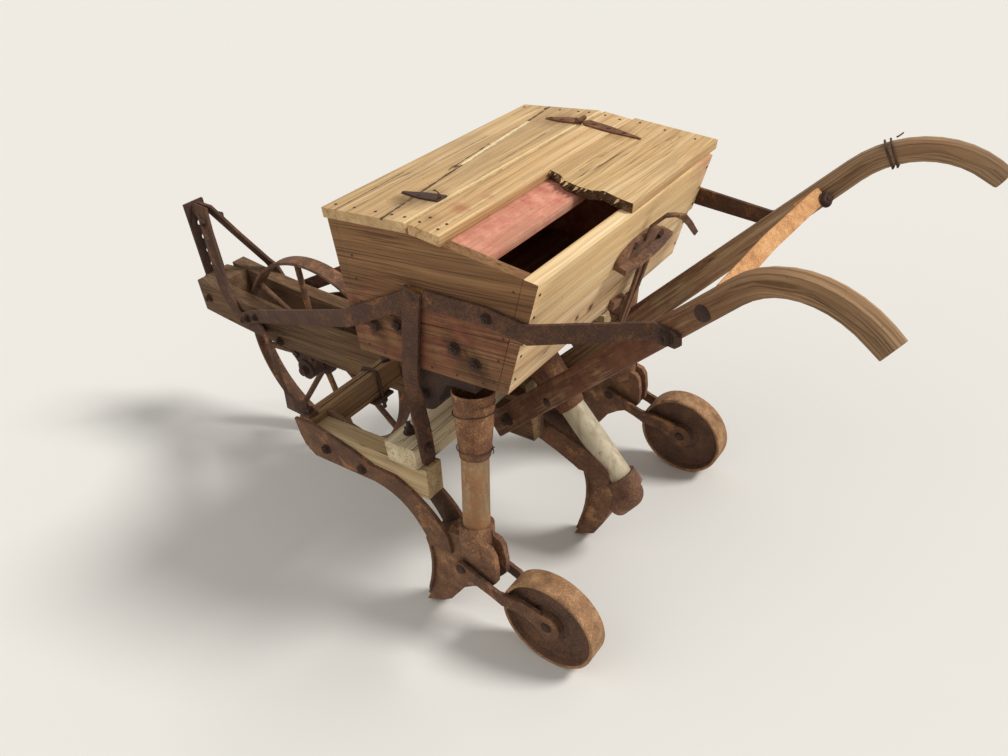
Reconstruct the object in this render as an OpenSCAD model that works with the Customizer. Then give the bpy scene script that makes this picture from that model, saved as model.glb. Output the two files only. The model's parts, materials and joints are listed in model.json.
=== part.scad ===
// One-horse walking seed drill with three rows, in millimetres.
// X runs forward to the hitch, Y to the machine's left and Z up from the ground.

/* [Hopper] */
// Outer width of the seed hopper across the rows
hopper_width = 600; // [520:10:680]
// Forward edge of the hopper at its rim
hopper_front_x = 23; // [10:1:40]
// Length of the level part of the rim
rim_flat = 195; // [160:5:220]
// Length of the part of the rim that slopes down to the rear
rim_slope = 246; // [220:2:280]
// Drop of the rim over its sloping part
rim_drop = 46; // [30:1:60]
// Height of the level rim above the ground
rim_z = 864; // [845:1:890]
// Depth of the hopper at its front
hopper_depth = 272; // [250:2:300]
// How far the rear wall leans in at the bottom
rear_lean = 85; // [60:5:100]
// How far the front wall leans in at the bottom
front_lean = 5; // [0:1:20]
// Thickness of the wall boards
wall_t = 22; // [18:1:26]
// Thickness of the floor boards
floor_t = 20; // [16:1:26]
// Height of the lower board of each end
lower_board = 112; // [90:2:130]
// Depth of the seams between boards
seam = 2; // [1:0.5:3]
// Height of the rear wall's lower board
rear_lower_h = 108; // [90:1:130]
// Step between the rear wall's upper and lower boards
rear_step = 5; // [3:1:8]

/* [Top boards] */
// Thickness of the fixed top boards and of the lid
top_t = 19; // [15:1:22]
// Overhang of the top boards past each end
top_overhang = 7; // [3:1:12]
// Width of the front top board at the left end
front_board_left = 140; // [120:5:150]
// Width of the front top board at the right end
front_board_right = 62; // [50:2:80]
// Width of the lid's narrow front board
lid_rail_w = 70; // [60:2:80]
// Width of the fixed cover board under the lid's edge
cover_w = 142; // [130:2:150]
// Gap between the lid and what it closes against
lid_gap = 0.3; // [0.2:0.1:0.5]
// Lift of the hinge pin above the boards
hinge_rise = 5; // [4:0.5:7]
// Radius of the hinge pin
hinge_pin_r = 2.5; // [2:0.25:3]
// Distance of the right strap hinge from the hopper's end
hinge_inset = 72; // [60:2:100]
// Distance of the left hinge's remaining leaf from the hopper's end
stub_inset = 95; // [80:1:110]

/* [Main beams] */
// Thickness of each main beam
beam_t = 40; // [36:1:46]
// Height of each main beam
beam_h = 89; // [80:1:96]
// Clear space between the main beams
beam_gap = 80; // [76:1:90]
// Front end of the main beams
beam_front_x = 900; // [880:2:915]
// Rear end of the main beams
beam_rear_x = -200; // [-220:2:-190]
// Height of the beams' top face at the rear end
beam_rear_z = 388; // [380:1:396]
// Where the beams begin to curve upward
beam_bend_x = 352; // [330:2:380]

/* [Cross beams] */
// Forward face of the front cross beam
front_cross_x = 206; // [198:1:212]
// Depth of the front cross beam along X
front_cross_t = 36; // [32:1:42]
// Top of the front cross beam
front_cross_z = 408; // [402:1:412]
// Height of the front cross beam
front_cross_h = 60; // [54:1:66]
// Forward face of the rear cross beam
rear_cross_x = -56; // [-64:1:-50]
// Depth of the rear cross beam along X
rear_cross_t = 76; // [68:1:84]
// Height of the rear cross beam
rear_cross_h = 47; // [42:1:52]
// Overhang of the rear cross beam past the flat irons' inner faces
rear_overhang = 6; // [0:1:10]

/* [Row units] */
// Distance of the outer rows outside the hopper's ends
row_out = 28; // [20:1:36]
// Thickness of the wooden bar between the flat irons
row_bar_t = 44; // [40:1:48]
// Height of the wooden row bars
row_bar_h = 74; // [66:1:80]
// Rear end of the wooden row bars
row_bar_rear_x = -148; // [-156:1:-142]
// Thickness of the flat irons of a standard
iron_t = 8; // [6:0.5:10]
// How far the centre row's hoe stands behind the left one's
centre_set_back = 170; // [160:2:180]
// How far the right row's hoe stands ahead of the left one's
right_forward = 50; // [40:2:60]
// Forward edge of the left shovel at its top
shovel_x = -113; // [-118:1:-108]
// Height of the shovels' top edge
shovel_top_z = 214; // [206:1:220]
// Width of a shovel
shovel_w = 58; // [50:1:66]
// Thickness of a shovel
shovel_t = 6; // [4:0.5:8]
// Seat between pieces that lie against each other
seat = 0.2; // [0.1:0.1:0.3]

/* [Press wheels] */
// Radius of a press wheel
press_r = 103; // [96:1:110]
// Width of a press wheel's rim
press_w = 49; // [44:1:54]
// Thickness of a press wheel's rim
press_rim_t = 7; // [5:0.5:9]
// Hub position of the left press wheel
press_x = -392; // [-402:1:-384]
// Position of the pivot bolt of the left press wheel's arms
pivot_x = -206; // [-212:1:-200]
// Height of the pivot bolts
pivot_z = 178; // [172:1:184]
// Thickness of the press wheel's arms
arm_t = 8; // [6:0.5:10]
// Radius of the press wheel's pin
press_pin_r = 8; // [6:0.5:10]

/* [Drive wheel] */
// Radius of the drive wheel
drive_r = 276; // [265:1:285]
// Width of the drive wheel's rim
drive_w = 42; // [36:1:46]
// Thickness of the drive wheel's rim
drive_rim_t = 8; // [6:0.5:10]
// Position of the drive axle
axle_x = 528; // [515:1:540]
// Radius of the drive axle
axle_r = 12; // [10:0.5:14]
// Half the length of the drive wheel's hub
hub_half = 36; // [30:1:38]
// Radius of the hub's two flanges
hub_flange_r = 44; // [38:1:50]
// Distance of each flange from the middle of the hub
flange_y = 17; // [14:1:20]
// Radius of a spoke
spoke_r = 8; // [6:0.5:10]
// Turn of the first spoke from upright
spoke_turn = 6; // [0:1:45]
// Number of spokes in the drive wheel
spokes = 8; // [6:1:10]
// Radial play of the axle and the pins in their bores
play = 0.08; // [0.05:0.01:0.1]

/* [Handles] */
// Front end of the handles
handle_front_x = -118; // [-126:1:-110]
// Distance of the handles' front ends from the centre
handle_front_y = 88; // [84:1:96]
// Height of the handles' centre line at the front end
handle_front_z = 327; // [320:1:334]
// Slope of the handles in degrees
handle_rise = 40; // [38:0.5:42]
// Angle at which the handles spread, in degrees
handle_splay = 14.3; // [13:0.1:15]
// Length of the handles' straight part
handle_straight = 795; // [780:5:810]
// Radius of the bend before the grips
handle_bend_r = 165; // [150:5:180]
// Angle of the bend before the grips, in degrees
handle_bend = 77; // [70:1:84]
// Length of the straight end of each grip
grip_len = 22; // [10:2:40]
// Place of the spreader between the handles along X
spreader_x = -665; // [-675:1:-655]
// Thickness of the handle planks
handle_t = 34; // [30:1:38]

/* [Hitch and straps] */
// Width of the flat strap irons
strap_w = 36; // [30:1:42]
// Thickness of the flat strap irons
strap_t = 7; // [5:0.5:9]
// Distance of the hitch plate's forward face in front of the beams' ends
hitch_reach = 36; // [30:1:44]
// Width of the hitch plate
hitch_w = 60; // [50:1:70]
// Thickness of the hitch plate and its legs
leg_t = 8; // [6:0.5:10]
// Radius of the holes in the hitch
hitch_hole_r = 8; // [6:0.5:10]
// Distance between the holes in the hitch
hitch_pitch = 40; // [36:1:44]
// Number of holes in the hitch
hitch_holes = 4; // [3:1:4]
// Top of the hitch
hitch_top_z = 655; // [645:1:665]
// Distance from the top of the hitch to its first hole
hitch_first = 60; // [50:1:62]

/* [Seed tubes] */
// Outer radius of a seed tube
tube_r = 27; // [24:0.5:30]
// Wall of a seed tube
tube_wall = 1.5; // [1:0.25:2.5]
// Drop from the hopper's floor to the tops of the outer seed tubes
tube_drop = 40; // [34:1:46]
// Drop from the hopper's floor to the top of the centre seed tube
centre_drop = 114; // [110:1:118]
// Position of the tops of the outer seed tubes along X
tube_top_x = -226; // [-236:1:-216]
// Distance of the outer seed tubes' tops from the hopper's ends
tube_inset = 32; // [26:1:38]
// Foot of the left seed tube along X
tube_foot_x = -228; // [-232:1:-224]
// Height of the outer seed tubes' feet
tube_foot_z = 238; // [234:1:244]
// Outer radius of a sleeve beyond its tube
sleeve_wall = 2.5; // [2:0.25:4]
// Play between a tube and its sleeve
sleeve_play = 0.2; // [0.15:0.05:0.3]
// Place of a sleeve's lower end, as a part of the whole tube's length
sleeve_start = 0.58; // [0.5:0.01:0.62]
// Length of tube inside its sleeve
sleeve_lap = 30; // [20:1:40]
// Outer radius of a sleeve's wide top beyond its tube
sleeve_top = 14; // [8:0.5:16]
// Wall of the collars that hold the seed tubes
collar_wall = 8; // [6:0.5:10]

/* [Hidden] */
$fn = 64;

// Colours
weathered = "#a58f6d";
red_paint = "#8a4a3d";
new_wood = "#d8c9a6";
rust = "#7a4a30";
dark_rust = "#553628";
zinc = "#8f8b78";

// Half of the hopper's width, and the outer rows' distance from the centre
half_w = hopper_width / 2;
row_y = half_w + row_out;

// Rows of the drill. Columns: place along Y, distance behind the left row
left_row = [row_y, 0];
centre_row = [0, centre_set_back];
right_row = [-row_y, -right_forward];

// Hopper lines
floor_z = rim_z - hopper_depth;
hinge_y = half_w - hinge_inset;
hinge_stub_y = half_w - stub_inset;
tube_top_y = half_w - tube_inset;
tube_top_z = floor_z - tube_drop;
hitch_x = beam_front_x + hitch_reach;
flat_end_x = hopper_front_x - rim_flat;
rim_rear_x = flat_end_x - rim_slope;
rim_rear_z = rim_z - rim_drop;
slope = atan(rim_drop / rim_slope);
rear_foot_x = rim_rear_x + rear_lean;
front_foot_x = hopper_front_x - front_lean;
rear_angle = atan(rear_lean / (rim_rear_z - floor_z));
rear_wall_x = wall_t / cos(rear_angle);
rear_seam_z = floor_z + rear_lower_h;
function rear_x(z) = rear_foot_x - rear_lean * (z - floor_z) / (rim_rear_z - floor_z);

// Beam lines
beam_in = beam_gap / 2;
beam_out = beam_in + beam_t;
function beam_z(x) = beam_rear_z + 0.03 * (x - beam_rear_x)
    + 0.00014 * pow(max(0, x - beam_bend_x), 2);
rear_cross_z = beam_z(rear_cross_x - rear_cross_t / 2);
row_bar_z = rear_cross_z;
front_cross_foot = front_cross_z - front_cross_h;
front_cross_half = row_y + row_bar_t / 2;
rear_cross_half = front_cross_half + rear_overhang;

// Places across the rows
iron_y = row_bar_t / 2 + iron_t / 2;
arm_y = row_bar_t / 2 + iron_t + seat + arm_t / 2;
strap_y = half_w + seat + strap_t / 2;
post_y = strap_y + seat + strap_t;
leg_y = beam_out + seat + leg_t / 2;

// Points along a cubic curve
function cubic(a, b, c, d, n) = [for (i = [0:n]) let (t = i / n, s = 1 - t)
    s * s * s * a + 3 * s * s * t * b + 3 * s * t * t * c + t * t * t * d];

// The same points with set_back taken from their X
function moved(points, back) = [for (p = points) [p.x - back, p.y]];
function flipped(points) = [for (i = [len(points) - 1:-1:0]) points[i]];

// A profile drawn in X and Z, given a thickness along Y with its centre at y
module plate(points, t, y = 0) {
    translate([0, y + t / 2, 0]) rotate([90, 0, 0]) linear_extrude(t) polygon(points);
}

// A cylinder along Y
module rod(x, z, y0, y1, r) {
    translate([x, y0, z]) rotate([-90, 0, 0]) cylinder(r = r, h = y1 - y0);
}

// Puts what is drawn along Z on the line from foot to top
module along(foot, top) {
    d = top - foot;
    translate(foot) rotate([0, acos(d.z / norm(d)), atan2(d.y, d.x)]) children();
}

module mirrored(flag) {
    if (flag) mirror([0, 1, 0]) children(); else children();
}

// Flat iron bent along a path. Columns of a row: point, way its flat side faces, width
function unit(v) = v / norm(v);
function ahead(rows, i) = unit(rows[i + 1][0] - rows[i][0]);
function heading(rows, i) = i == 0 ? ahead(rows, 0)
    : i == len(rows) - 1 ? ahead(rows, i - 1) : unit(ahead(rows, i) + ahead(rows, i - 1));
function section(rows, i, t) = let (
    d = heading(rows, i),
    u = unit(cross(rows[i][1], d)),
    n = cross(d, u),
    turn = i == 0 || i == len(rows) - 1 ? [0, 0, 0] : ahead(rows, i) - ahead(rows, i - 1),
    half = norm(turn) / 2,
    wide = half == 0 ? 0 : half * abs(unit(turn) * u),
    thick = half == 0 ? 0 : half * abs(unit(turn) * n),
    a = u * rows[i][2] / 2 / sqrt(1 - wide * wide),
    b = n * t / 2 / sqrt(1 - thick * thick))
    [for (c = [a + b, b - a, -a - b, a - b]) rows[i][0] + c];

module ribbon(rows, t) {
    last = len(rows) - 1;
    points = [for (i = [0:last]) each section(rows, i, t)];
    polyhedron(points, concat([[0, 1, 2], [0, 2, 3]],
        [for (i = [0:last - 1]) for (k = [0:3]) let (a = 4 * i + k, b = 4 * i + (k + 1) % 4)
            each [[a, a + 4, b + 4], [a, b + 4, b]]],
        [[4 * last + 2, 4 * last + 1, 4 * last], [4 * last + 3, 4 * last + 2, 4 * last]]),
        convexity = 6);
}

// Frame

function beam_outline() = let (n = 16,
    top = [for (i = [0:n]) let (x = beam_rear_x + (beam_front_x - beam_rear_x) * i / n)
        [x, beam_z(x)]])
    concat(top, [for (p = flipped(top)) p - [0, beam_h]]);

module main_beam(right) {
    color(weathered) mirrored(right) difference() {
        plate(beam_outline(), beam_t, beam_in + beam_t / 2);
        // Halving for the front cross beam and seat for the rear one
        translate([front_cross_x - front_cross_t, 0, front_cross_foot])
            cube([front_cross_t, row_y, beam_h]);
        translate([rear_cross_x - rear_cross_t, 0, rear_cross_z]) cube([rear_cross_t, row_y, beam_h]);
    }
}
module main_beam_left() { main_beam(false); }
module main_beam_right() { main_beam(true); }

// Block between the beams' front ends, which the hitch plate stands against
block_len = 60;
block_h = 76;
module cross_block() {
    x0 = beam_front_x - block_len;
    x1 = hitch_x - leg_t - seat;
    color(weathered) translate([x0, -beam_in, beam_z(x0) - block_h]) cube([x1 - x0, beam_gap, block_h]);
}

module front_cross_beam() {
    color(weathered) difference() {
        translate([front_cross_x - front_cross_t, -front_cross_half, front_cross_foot])
            cube([front_cross_t, 2 * front_cross_half, front_cross_h]);
        // Old split along the top
        translate([front_cross_x - front_cross_t * 0.42, 60, front_cross_z - 9])
            rotate([0, 0, 1.5]) cube([4, 250, 20]);
    }
}

spare_hole_x = 58;
spare_hole_in = 38;
spare_hole_r = 7;
module rear_cross_beam() {
    color(new_wood) difference() {
        translate([rear_cross_x - rear_cross_t, -rear_cross_half, rear_cross_z])
            cube([rear_cross_t, 2 * rear_cross_half, rear_cross_h]);
        // Empty bolt hole near each end
        for (s = [-1, 1])
            translate([rear_cross_x - spare_hole_x, s * (row_y - spare_hole_in), rear_cross_z - 1])
                cylinder(r = spare_hole_r, h = rear_cross_h + 2);
    }
}

// Wooden bar of a row, with a slanting rear end, halved under the front cross beam
module row_bar(row) {
    foot = row_bar_z - row_bar_h;
    rear = front_cross_x - front_cross_t;
    color(new_wood) plate([[row_bar_rear_x + 8, foot], [row_bar_rear_x, row_bar_z],
        [rear, row_bar_z], [rear, front_cross_foot], [front_cross_x, front_cross_foot],
        [front_cross_x, foot]], row_bar_t, row[0]);
}
module row_bar_left() { row_bar(left_row); }
module row_bar_centre() { row_bar(centre_row); }
module row_bar_right() { row_bar(right_row); }

// Standards, boots and shovels

// Forward edge of the shovel from its top to its tip
function blade_edge(back) = moved(cubic([shovel_x, shovel_top_z], [shovel_x - 13, 160],
    [shovel_x + 7, 84], [shovel_x + 51, 6], 8), back);

// Side outline of the flat irons: level under the cross beams, then down to the boot
function standard_outline(back) = concat(
    [[front_cross_x + 8, front_cross_z - 4], [front_cross_x + 2, 362], [front_cross_x - 6, 340],
        [front_cross_x - 30, 318], [40, 316]],
    cubic([0, 315], [-66, 306], [-104 - back * 0.6, 268], [-125 - back, 198], 8),
    [[-180 - back, 200]],
    cubic([-178 - back, 236], [-166 - back * 0.8, 286], [-110 - back * 0.25, 330], [-60, 350], 8),
    [[0, 354], [48, 374], [100, 388], [front_cross_x - 50, front_cross_z - 4]]);

// The room in front of the shovel's rear face
module behind_shovel(row) {
    edge = blade_edge(row[1]);
    plate(concat([edge[0] + [-shovel_t - seat, seat]], moved(edge, shovel_t + seat),
        flipped(moved(edge, -80)), [edge[0] + [80, seat]]), shovel_w + 20, row[0]);
}

module standard_irons(back, y, t) {
    for (s = [-1, 1]) plate(standard_outline(back), t, y + s * iron_y);
}
module standard(row) {
    color(rust) difference() {
        standard_irons(row[1], row[0], iron_t);
        // The inner irons end under the front cross beam, and the outer one covers its end
        translate([front_cross_x - front_cross_t - seat, -front_cross_half - seat / 2,
            front_cross_foot - seat])
            cube([front_cross_t * 2, 2 * front_cross_half + seat, front_cross_h * 2]);
        // Their lower ends stop behind the shovel, and the centre ones clear the tilted tube
        behind_shovel(row);
        if (row == centre_row) along(centre_foot, centre_top) cylinder(r = tube_r + 1, h = 200);
    }
}
module standard_left() { standard(left_row); }
module standard_centre() { standard(centre_row); }
module standard_right() { standard(right_row); }

// Rear and lower edges of the boot castings, from the toe up to the flat irons
outer_boot_rear = [[-92, 16], [-116, 26], [-144, 46], [-168, 76], [-190, 104], [-218, 122],
    [-262, 142], [-280, 162], [-285, 196], [-284, 232], [-276, 247], [-260, 252], [-172, 252],
    [-146, 230]];
centre_boot_rear = [[-94, 16], [-122, 30], [-148, 70], [-175, 128], [-184, 180], [-178, 225],
    [-146, 230]];
ear_gap = 20;

module boot_web(row, rear) {
    front = moved(blade_edge(row[1]), shovel_t + seat);
    plate(concat(front, moved(rear, row[1])), row_bar_t, row[0]);
}

// Where the left and right tubes end
function outer_foot(row) = [tube_foot_x - row[1], row[0], tube_foot_z];
function outer_top(row) = [tube_top_x, sign(row[0]) * tube_top_y, tube_top_z];
centre_foot = [-372, 0, 188];
centre_top = [-160, 0, floor_z - centre_drop];
collar_r = tube_r + collar_wall;

// Casting between the flat irons with a collar for the tube and two ears at the rear
module outer_boot(row) {
    y = row[0];
    foot = outer_foot(row);
    color(dark_rust) difference() {
        union() {
            boot_web(row, outer_boot_rear);
            along(foot, outer_top(row)) translate([0, 0, -6]) cylinder(r = collar_r, h = 44);
            // Throat under the collar
            hull() {
                along(foot, outer_top(row)) translate([0, 0, -5])
                    cylinder(r = collar_r - 1.5, h = 3, $fn = 24);
                translate([foot.x - collar_r + 5, y - row_bar_t / 2 + 1, foot.z - 34])
                    cube([2 * collar_r - 10, row_bar_t - 2, 2]);
            }
        }
        along(foot, outer_top(row)) cylinder(r = tube_r + seat, h = 120);
        // Slot between the ears
        translate([foot.x - 90, y - ear_gap / 2, 130]) cube([58, ear_gap, 140]);
        // Room for the flat irons and hole for the pivot bolt
        standard_irons(row[1], y, iron_t + 2 * seat);
        rod(pivot_x - row[1], pivot_z, y - 40, y + 40, press_pin_r + seat);
    }
}
module boot_left() { outer_boot(left_row); }
module boot_right() { outer_boot(right_row); }

// The middle casting has lost its wheel: its collar turns into a closed elbow
module boot_centre() {
    color(dark_rust) difference() {
        union() {
            boot_web(centre_row, centre_boot_rear);
            along(centre_foot, centre_top) translate([0, 0, -8]) cylinder(r = collar_r, h = 34);
            hull() {
                translate([-374, 0, 168]) sphere(r = collar_r - 1, $fn = 32);
                translate([-352, 0, 122]) sphere(r = 22, $fn = 32);
            }
        }
        along(centre_foot, centre_top) cylinder(r = tube_r + seat, h = 120);
        standard_irons(centre_set_back, 0, iron_t + 2 * seat);
    }
}

// Curved blade with a blunt point
module shovel(row) {
    front = blade_edge(row[1]);
    w = shovel_w / 2;
    x = front[0].x - 40;
    color(rust) intersection() {
        plate(concat(front, flipped(moved(front, shovel_t))), shovel_w, row[0]);
        translate([x, row[0], 0]) rotate([90, 0, 90]) linear_extrude(150) polygon([
            [-w, shovel_top_z + 1], [-w, 62], [-w * 0.62, 22], [0, 0], [w * 0.62, 22], [w, 62],
            [w, shovel_top_z + 1]]);
    }
}
module shovel_left() { shovel(left_row); }
module shovel_centre() { shovel(centre_row); }
module shovel_right() { shovel(right_row); }

// Press wheels

boss_half = 15.5;
arm_in = boss_half + 0.5;

function wheel_x(row) = press_x - row[1];

// One arm: straight beside the irons, then in through the wheel's open side to its boss
module press_arm(row, side) {
    px = pivot_x - row[1];
    hx = wheel_x(row);
    d = [hx - px, press_r - pivot_z];
    len = norm(d);
    out = arm_y - arm_t / 2;
    bend = press_r - press_rim_t + 1;
    translate([0, row[0], 0]) intersection() {
        translate([px, 60, pivot_z]) rotate([90, 0, 0]) rotate([0, 0, atan2(d.y, d.x)])
            linear_extrude(120) union() {
                polygon([[0, -16], [0, 16], [len * 0.4, 13], [len * 0.7, 17], [len - 20, 24],
                    [len - 20, -24], [len * 0.7, -17], [len * 0.4, -13]]);
                circle(r = 16);
                translate([len, 0]) circle(r = 29);
            }
        mirrored(side < 0) linear_extrude(400) polygon([
            [px + 20, out], [hx + bend, out], [hx + bend - 44, arm_in], [hx - 40, arm_in],
            [hx - 40, arm_in + arm_t], [hx + bend - 47, arm_in + arm_t],
            [hx + bend - 3, out + arm_t], [px + 20, out + arm_t]]);
    }
}
module press_arms(row) {
    color(rust) difference() {
        for (side = [-1, 1]) press_arm(row, side);
        for (p = [[pivot_x - row[1], pivot_z], [wheel_x(row), press_r]])
            rod(p.x, p.y, row[0] - 60, row[0] + 60, press_pin_r + seat / 2);
    }
}
module press_arms_left() { press_arms(left_row); }
module press_arms_right() { press_arms(right_row); }

// Pivot bolt and wheel pin, each with a rivet head on both ends
module press_pins(row) {
    color(dark_rust) for (p = [[pivot_x - row[1], pivot_z, arm_y + arm_t / 2],
            [wheel_x(row), press_r, arm_in + arm_t]]) {
        rod(p.x, p.y, row[0] - p.z - 2, row[0] + p.z + 2, press_pin_r);
        for (side = [-1, 1]) translate([p.x, row[0] + side * (p.z + seat), p.y])
            rotate([-90 * side, 0, 0]) cylinder(r1 = press_pin_r + 4, r2 = press_pin_r, h = 5);
    }
}
module press_pins_left() { press_pins(left_row); }
module press_pins_right() { press_pins(right_row); }

// Half section of a press wheel from its web out to its rim. Columns: radius, half width
function wheel_half() = let (r = press_r, w = press_w / 2, in = press_r - press_rim_t)
    [[press_pin_r + play, boss_half], [29, boss_half], [30, boss_half - 1], [30, 7], [33, 5],
        [40, 5], [42, 7], [46, 5], [in - 10, 5], [in - 4, 9], [in, w - 2], [in + 2, w],
        [r - 2, w], [r, w - 2]];

module press_wheel(row) {
    half = wheel_half();
    color(rust) translate([wheel_x(row), row[0], press_r]) rotate([90, 0, 0]) rotate_extrude()
        polygon(concat(half, [for (p = flipped(half)) [p.x, -p.y]]));
}
module press_wheel_left() { press_wheel(left_row); }
module press_wheel_right() { press_wheel(right_row); }

// Drive wheel

module axle_hanger(right) {
    mid = beam_in + beam_t / 2;
    foot = 26;
    pad = 55;
    color(dark_rust) mirrored(right) difference() {
        union() {
            plate([[axle_x - foot, drive_r], [axle_x - pad, beam_z(axle_x) - beam_h],
                [axle_x - pad, beam_z(axle_x) - beam_h / 2],
                [axle_x + pad, beam_z(axle_x) - beam_h / 2],
                [axle_x + pad, beam_z(axle_x) - beam_h], [axle_x + foot, drive_r]],
                beam_t - 12, mid);
            rod(axle_x, drive_r, beam_in, beam_out, 28);
        }
        plate(beam_outline(), beam_t + 2, mid);
        rod(axle_x, drive_r, 0, 2 * beam_out, axle_r + play);
    }
}
module axle_hanger_left() { axle_hanger(false); }
module axle_hanger_right() { axle_hanger(true); }

rim_in_r = drive_r - drive_rim_t;

module drive_rim() {
    color(rust) translate([axle_x, drive_w / 2, drive_r]) rotate([90, 0, 0]) difference() {
        cylinder(r = drive_r, h = drive_w, $fn = 128);
        translate([0, 0, -1]) cylinder(r = rim_in_r, h = drive_w + 2, $fn = 128);
    }
}

// Rods that lean to the two flanges of the hub in turn
module drive_spokes() {
    color(rust) for (i = [0:spokes - 1]) {
        side = i % 2 == 0 ? 1 : -1;
        rise = rim_in_r - hub_flange_r;
        lean = atan(side * flange_y / rise);
        translate([axle_x, 0, drive_r]) rotate([0, spoke_turn + 360 / spokes * i, 0])
            intersection() {
                translate([0, side * flange_y, hub_flange_r]) rotate([lean, 0, 0])
                    translate([0, 0, -10]) cylinder(r = spoke_r, h = rise / cos(lean) + 20);
                difference() {
                    rod(0, 0, -hub_half, hub_half, rim_in_r - seat);
                    rod(0, 0, -hub_half - 1, hub_half + 1, hub_flange_r + seat);
                }
            }
    }
}

module drive_hub() {
    color(dark_rust) {
        rod(axle_x, drive_r, -beam_out - 14, beam_out + 14, axle_r);
        translate([axle_x, 0, drive_r]) rotate([90, 0, 0]) rotate_extrude() polygon([
            [axle_r - 2, -hub_half], [28, -hub_half], [30, -hub_half + 6],
            [hub_flange_r, -flange_y - 9], [hub_flange_r, -flange_y + 9], [30, -flange_y + 12],
            [30, flange_y - 12], [hub_flange_r, flange_y - 9], [hub_flange_r, flange_y + 9],
            [30, hub_half - 6], [28, hub_half], [axle_r - 2, hub_half]]);
    }
}

// Hopper

// Side outline of the hopper between its front and its rear wall
function end_outline() = [
    [front_foot_x - wall_t, floor_z], [hopper_front_x - wall_t, rim_z], [flat_end_x, rim_z],
    [rim_rear_x + rear_wall_x, rim_rear_z + tan(slope) * rear_wall_x],
    [rear_foot_x + rear_wall_x, floor_z]];

module hopper_end(right) {
    color(red_paint) mirrored(right) difference() {
        plate(end_outline(), wall_t, half_w - wall_t / 2);
        // Seam between the upper and the lower board
        translate([rim_rear_x - 100, half_w - seam, floor_z + lower_board]) rotate([0, 2, 0])
            cube([700, 20, seam]);
    }
}
module hopper_end_left() { hopper_end(false); }
module hopper_end_right() { hopper_end(true); }

module hopper_front() {
    color(weathered) plate([[front_foot_x - wall_t, floor_z], [hopper_front_x - wall_t, rim_z],
        [hopper_front_x, rim_z], [front_foot_x, floor_z]], hopper_width);
}

module hopper_rear_upper() {
    top = rear_x(rim_rear_z);
    low = rear_x(rear_seam_z);
    color(weathered) plate([[low - rear_step, rear_seam_z],
        [top - rear_step, rim_rear_z - rear_step * tan(slope)],
        [top + rear_wall_x, rim_rear_z + rear_wall_x * tan(slope)],
        [low + rear_wall_x, rear_seam_z]], hopper_width);
}

module hopper_rear_lower() {
    color(weathered) plate([[rear_x(floor_z), floor_z], [rear_x(rear_seam_z), rear_seam_z],
        [rear_x(rear_seam_z) + rear_wall_x, rear_seam_z],
        [rear_x(floor_z) + rear_wall_x, floor_z]], hopper_width);
}

module hopper_floor() {
    color(red_paint) difference() {
        plate([[rear_x(floor_z) + rear_wall_x, floor_z],
            [rear_x(floor_z + floor_t) + rear_wall_x, floor_z + floor_t],
            [front_foot_x - wall_t + front_lean * floor_t / hopper_depth, floor_z + floor_t],
            [front_foot_x - wall_t, floor_z]], hopper_width - 2 * wall_t);
        // Seed openings over the feed cups
        for (y = cup_places) translate([feed_x - 25, y - 16, floor_z - 1])
            cube([50, 32, floor_t + 2]);
    }
}

// Fixed board flush with the sloping rim, between the lid's rail and the open part
module hopper_cover() {
    x0 = flat_end_x - 4;
    x1 = flat_end_x - cover_w;
    t = 20;
    color(red_paint) plate([[x0, rim_z - 4 * tan(slope)], [x1, rim_z - cover_w * tan(slope)],
        [x1 + 4, rim_z - cover_w * tan(slope) - t], [x0, rim_z - t - 4]],
        hopper_width - 2 * wall_t);
}

module hopper_top() {
    y = half_w + top_overhang;
    color(weathered) difference() {
        translate([flat_end_x, -y, rim_z]) cube([rim_flat, 2 * y, top_t]);
        // Seam between the two boards, which run at a slant
        translate([0, 0, rim_z + top_t - seam]) linear_extrude(20) polygon([
            [hopper_front_x - front_board_left, y + 1],
            [hopper_front_x - front_board_left + seam, y + 1],
            [hopper_front_x - front_board_right + seam, -y - 1],
            [hopper_front_x - front_board_right, -y - 1]]);
    }
}

// Lid: a rail along the fixed boards and a wide board whose left half has broken away

module on_slope() {
    translate([flat_end_x, 0, rim_z + lid_gap]) rotate([0, -slope, 0]) children();
}

module lid_rail() {
    y = half_w + top_overhang;
    color(weathered) on_slope() translate([-lid_rail_w, -y, 0])
        cube([lid_rail_w - 4, 2 * y, top_t]);
}

module lid_board() {
    y = half_w + top_overhang;
    depth = norm([rim_slope, rim_drop]);
    front = -lid_rail_w - seat;
    color(weathered) on_slope() linear_extrude(top_t) polygon([
        [front, -y - 10], [front, -5], [-96, 0], [-114, 14], [-148, 18], [-172, 16],
        [-188, 4], [-229, 12], [-depth - 2, 13], [-depth + 2, -y - 22]]);
}

// Outline of a strap hinge's pointed leaf, from the pin outward
function leaf(length, w) = [[0, -w], [length * 0.45, -w + 1], [length, -2], [length, 2],
    [length * 0.45, w - 1], [0, w]];
pin_z = rim_z + top_t + hinge_rise;
leaf_t = 3;
knuckle = 4;

module lid_hinge_fixed() {
    z = rim_z + top_t + seat;
    color(dark_rust) {
        translate([flat_end_x + hinge_rise + 1, -hinge_y, z]) linear_extrude(leaf_t)
            polygon(leaf(78, 14));
        for (y = [-hinge_y - 14, -hinge_y + knuckle]) {
            rod(flat_end_x, pin_z, y, y + 14 - knuckle, hinge_rise - seat);
            translate([flat_end_x, y, z]) cube([hinge_rise + 2, 14 - knuckle, leaf_t]);
        }
        rod(flat_end_x, pin_z, -hinge_y - 16, -hinge_y + 16, hinge_pin_r);
        // Leaf that is left of the other hinge
        translate([flat_end_x + 3, hinge_stub_y, z]) linear_extrude(leaf_t) polygon(leaf(92, 13));
    }
}

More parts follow.
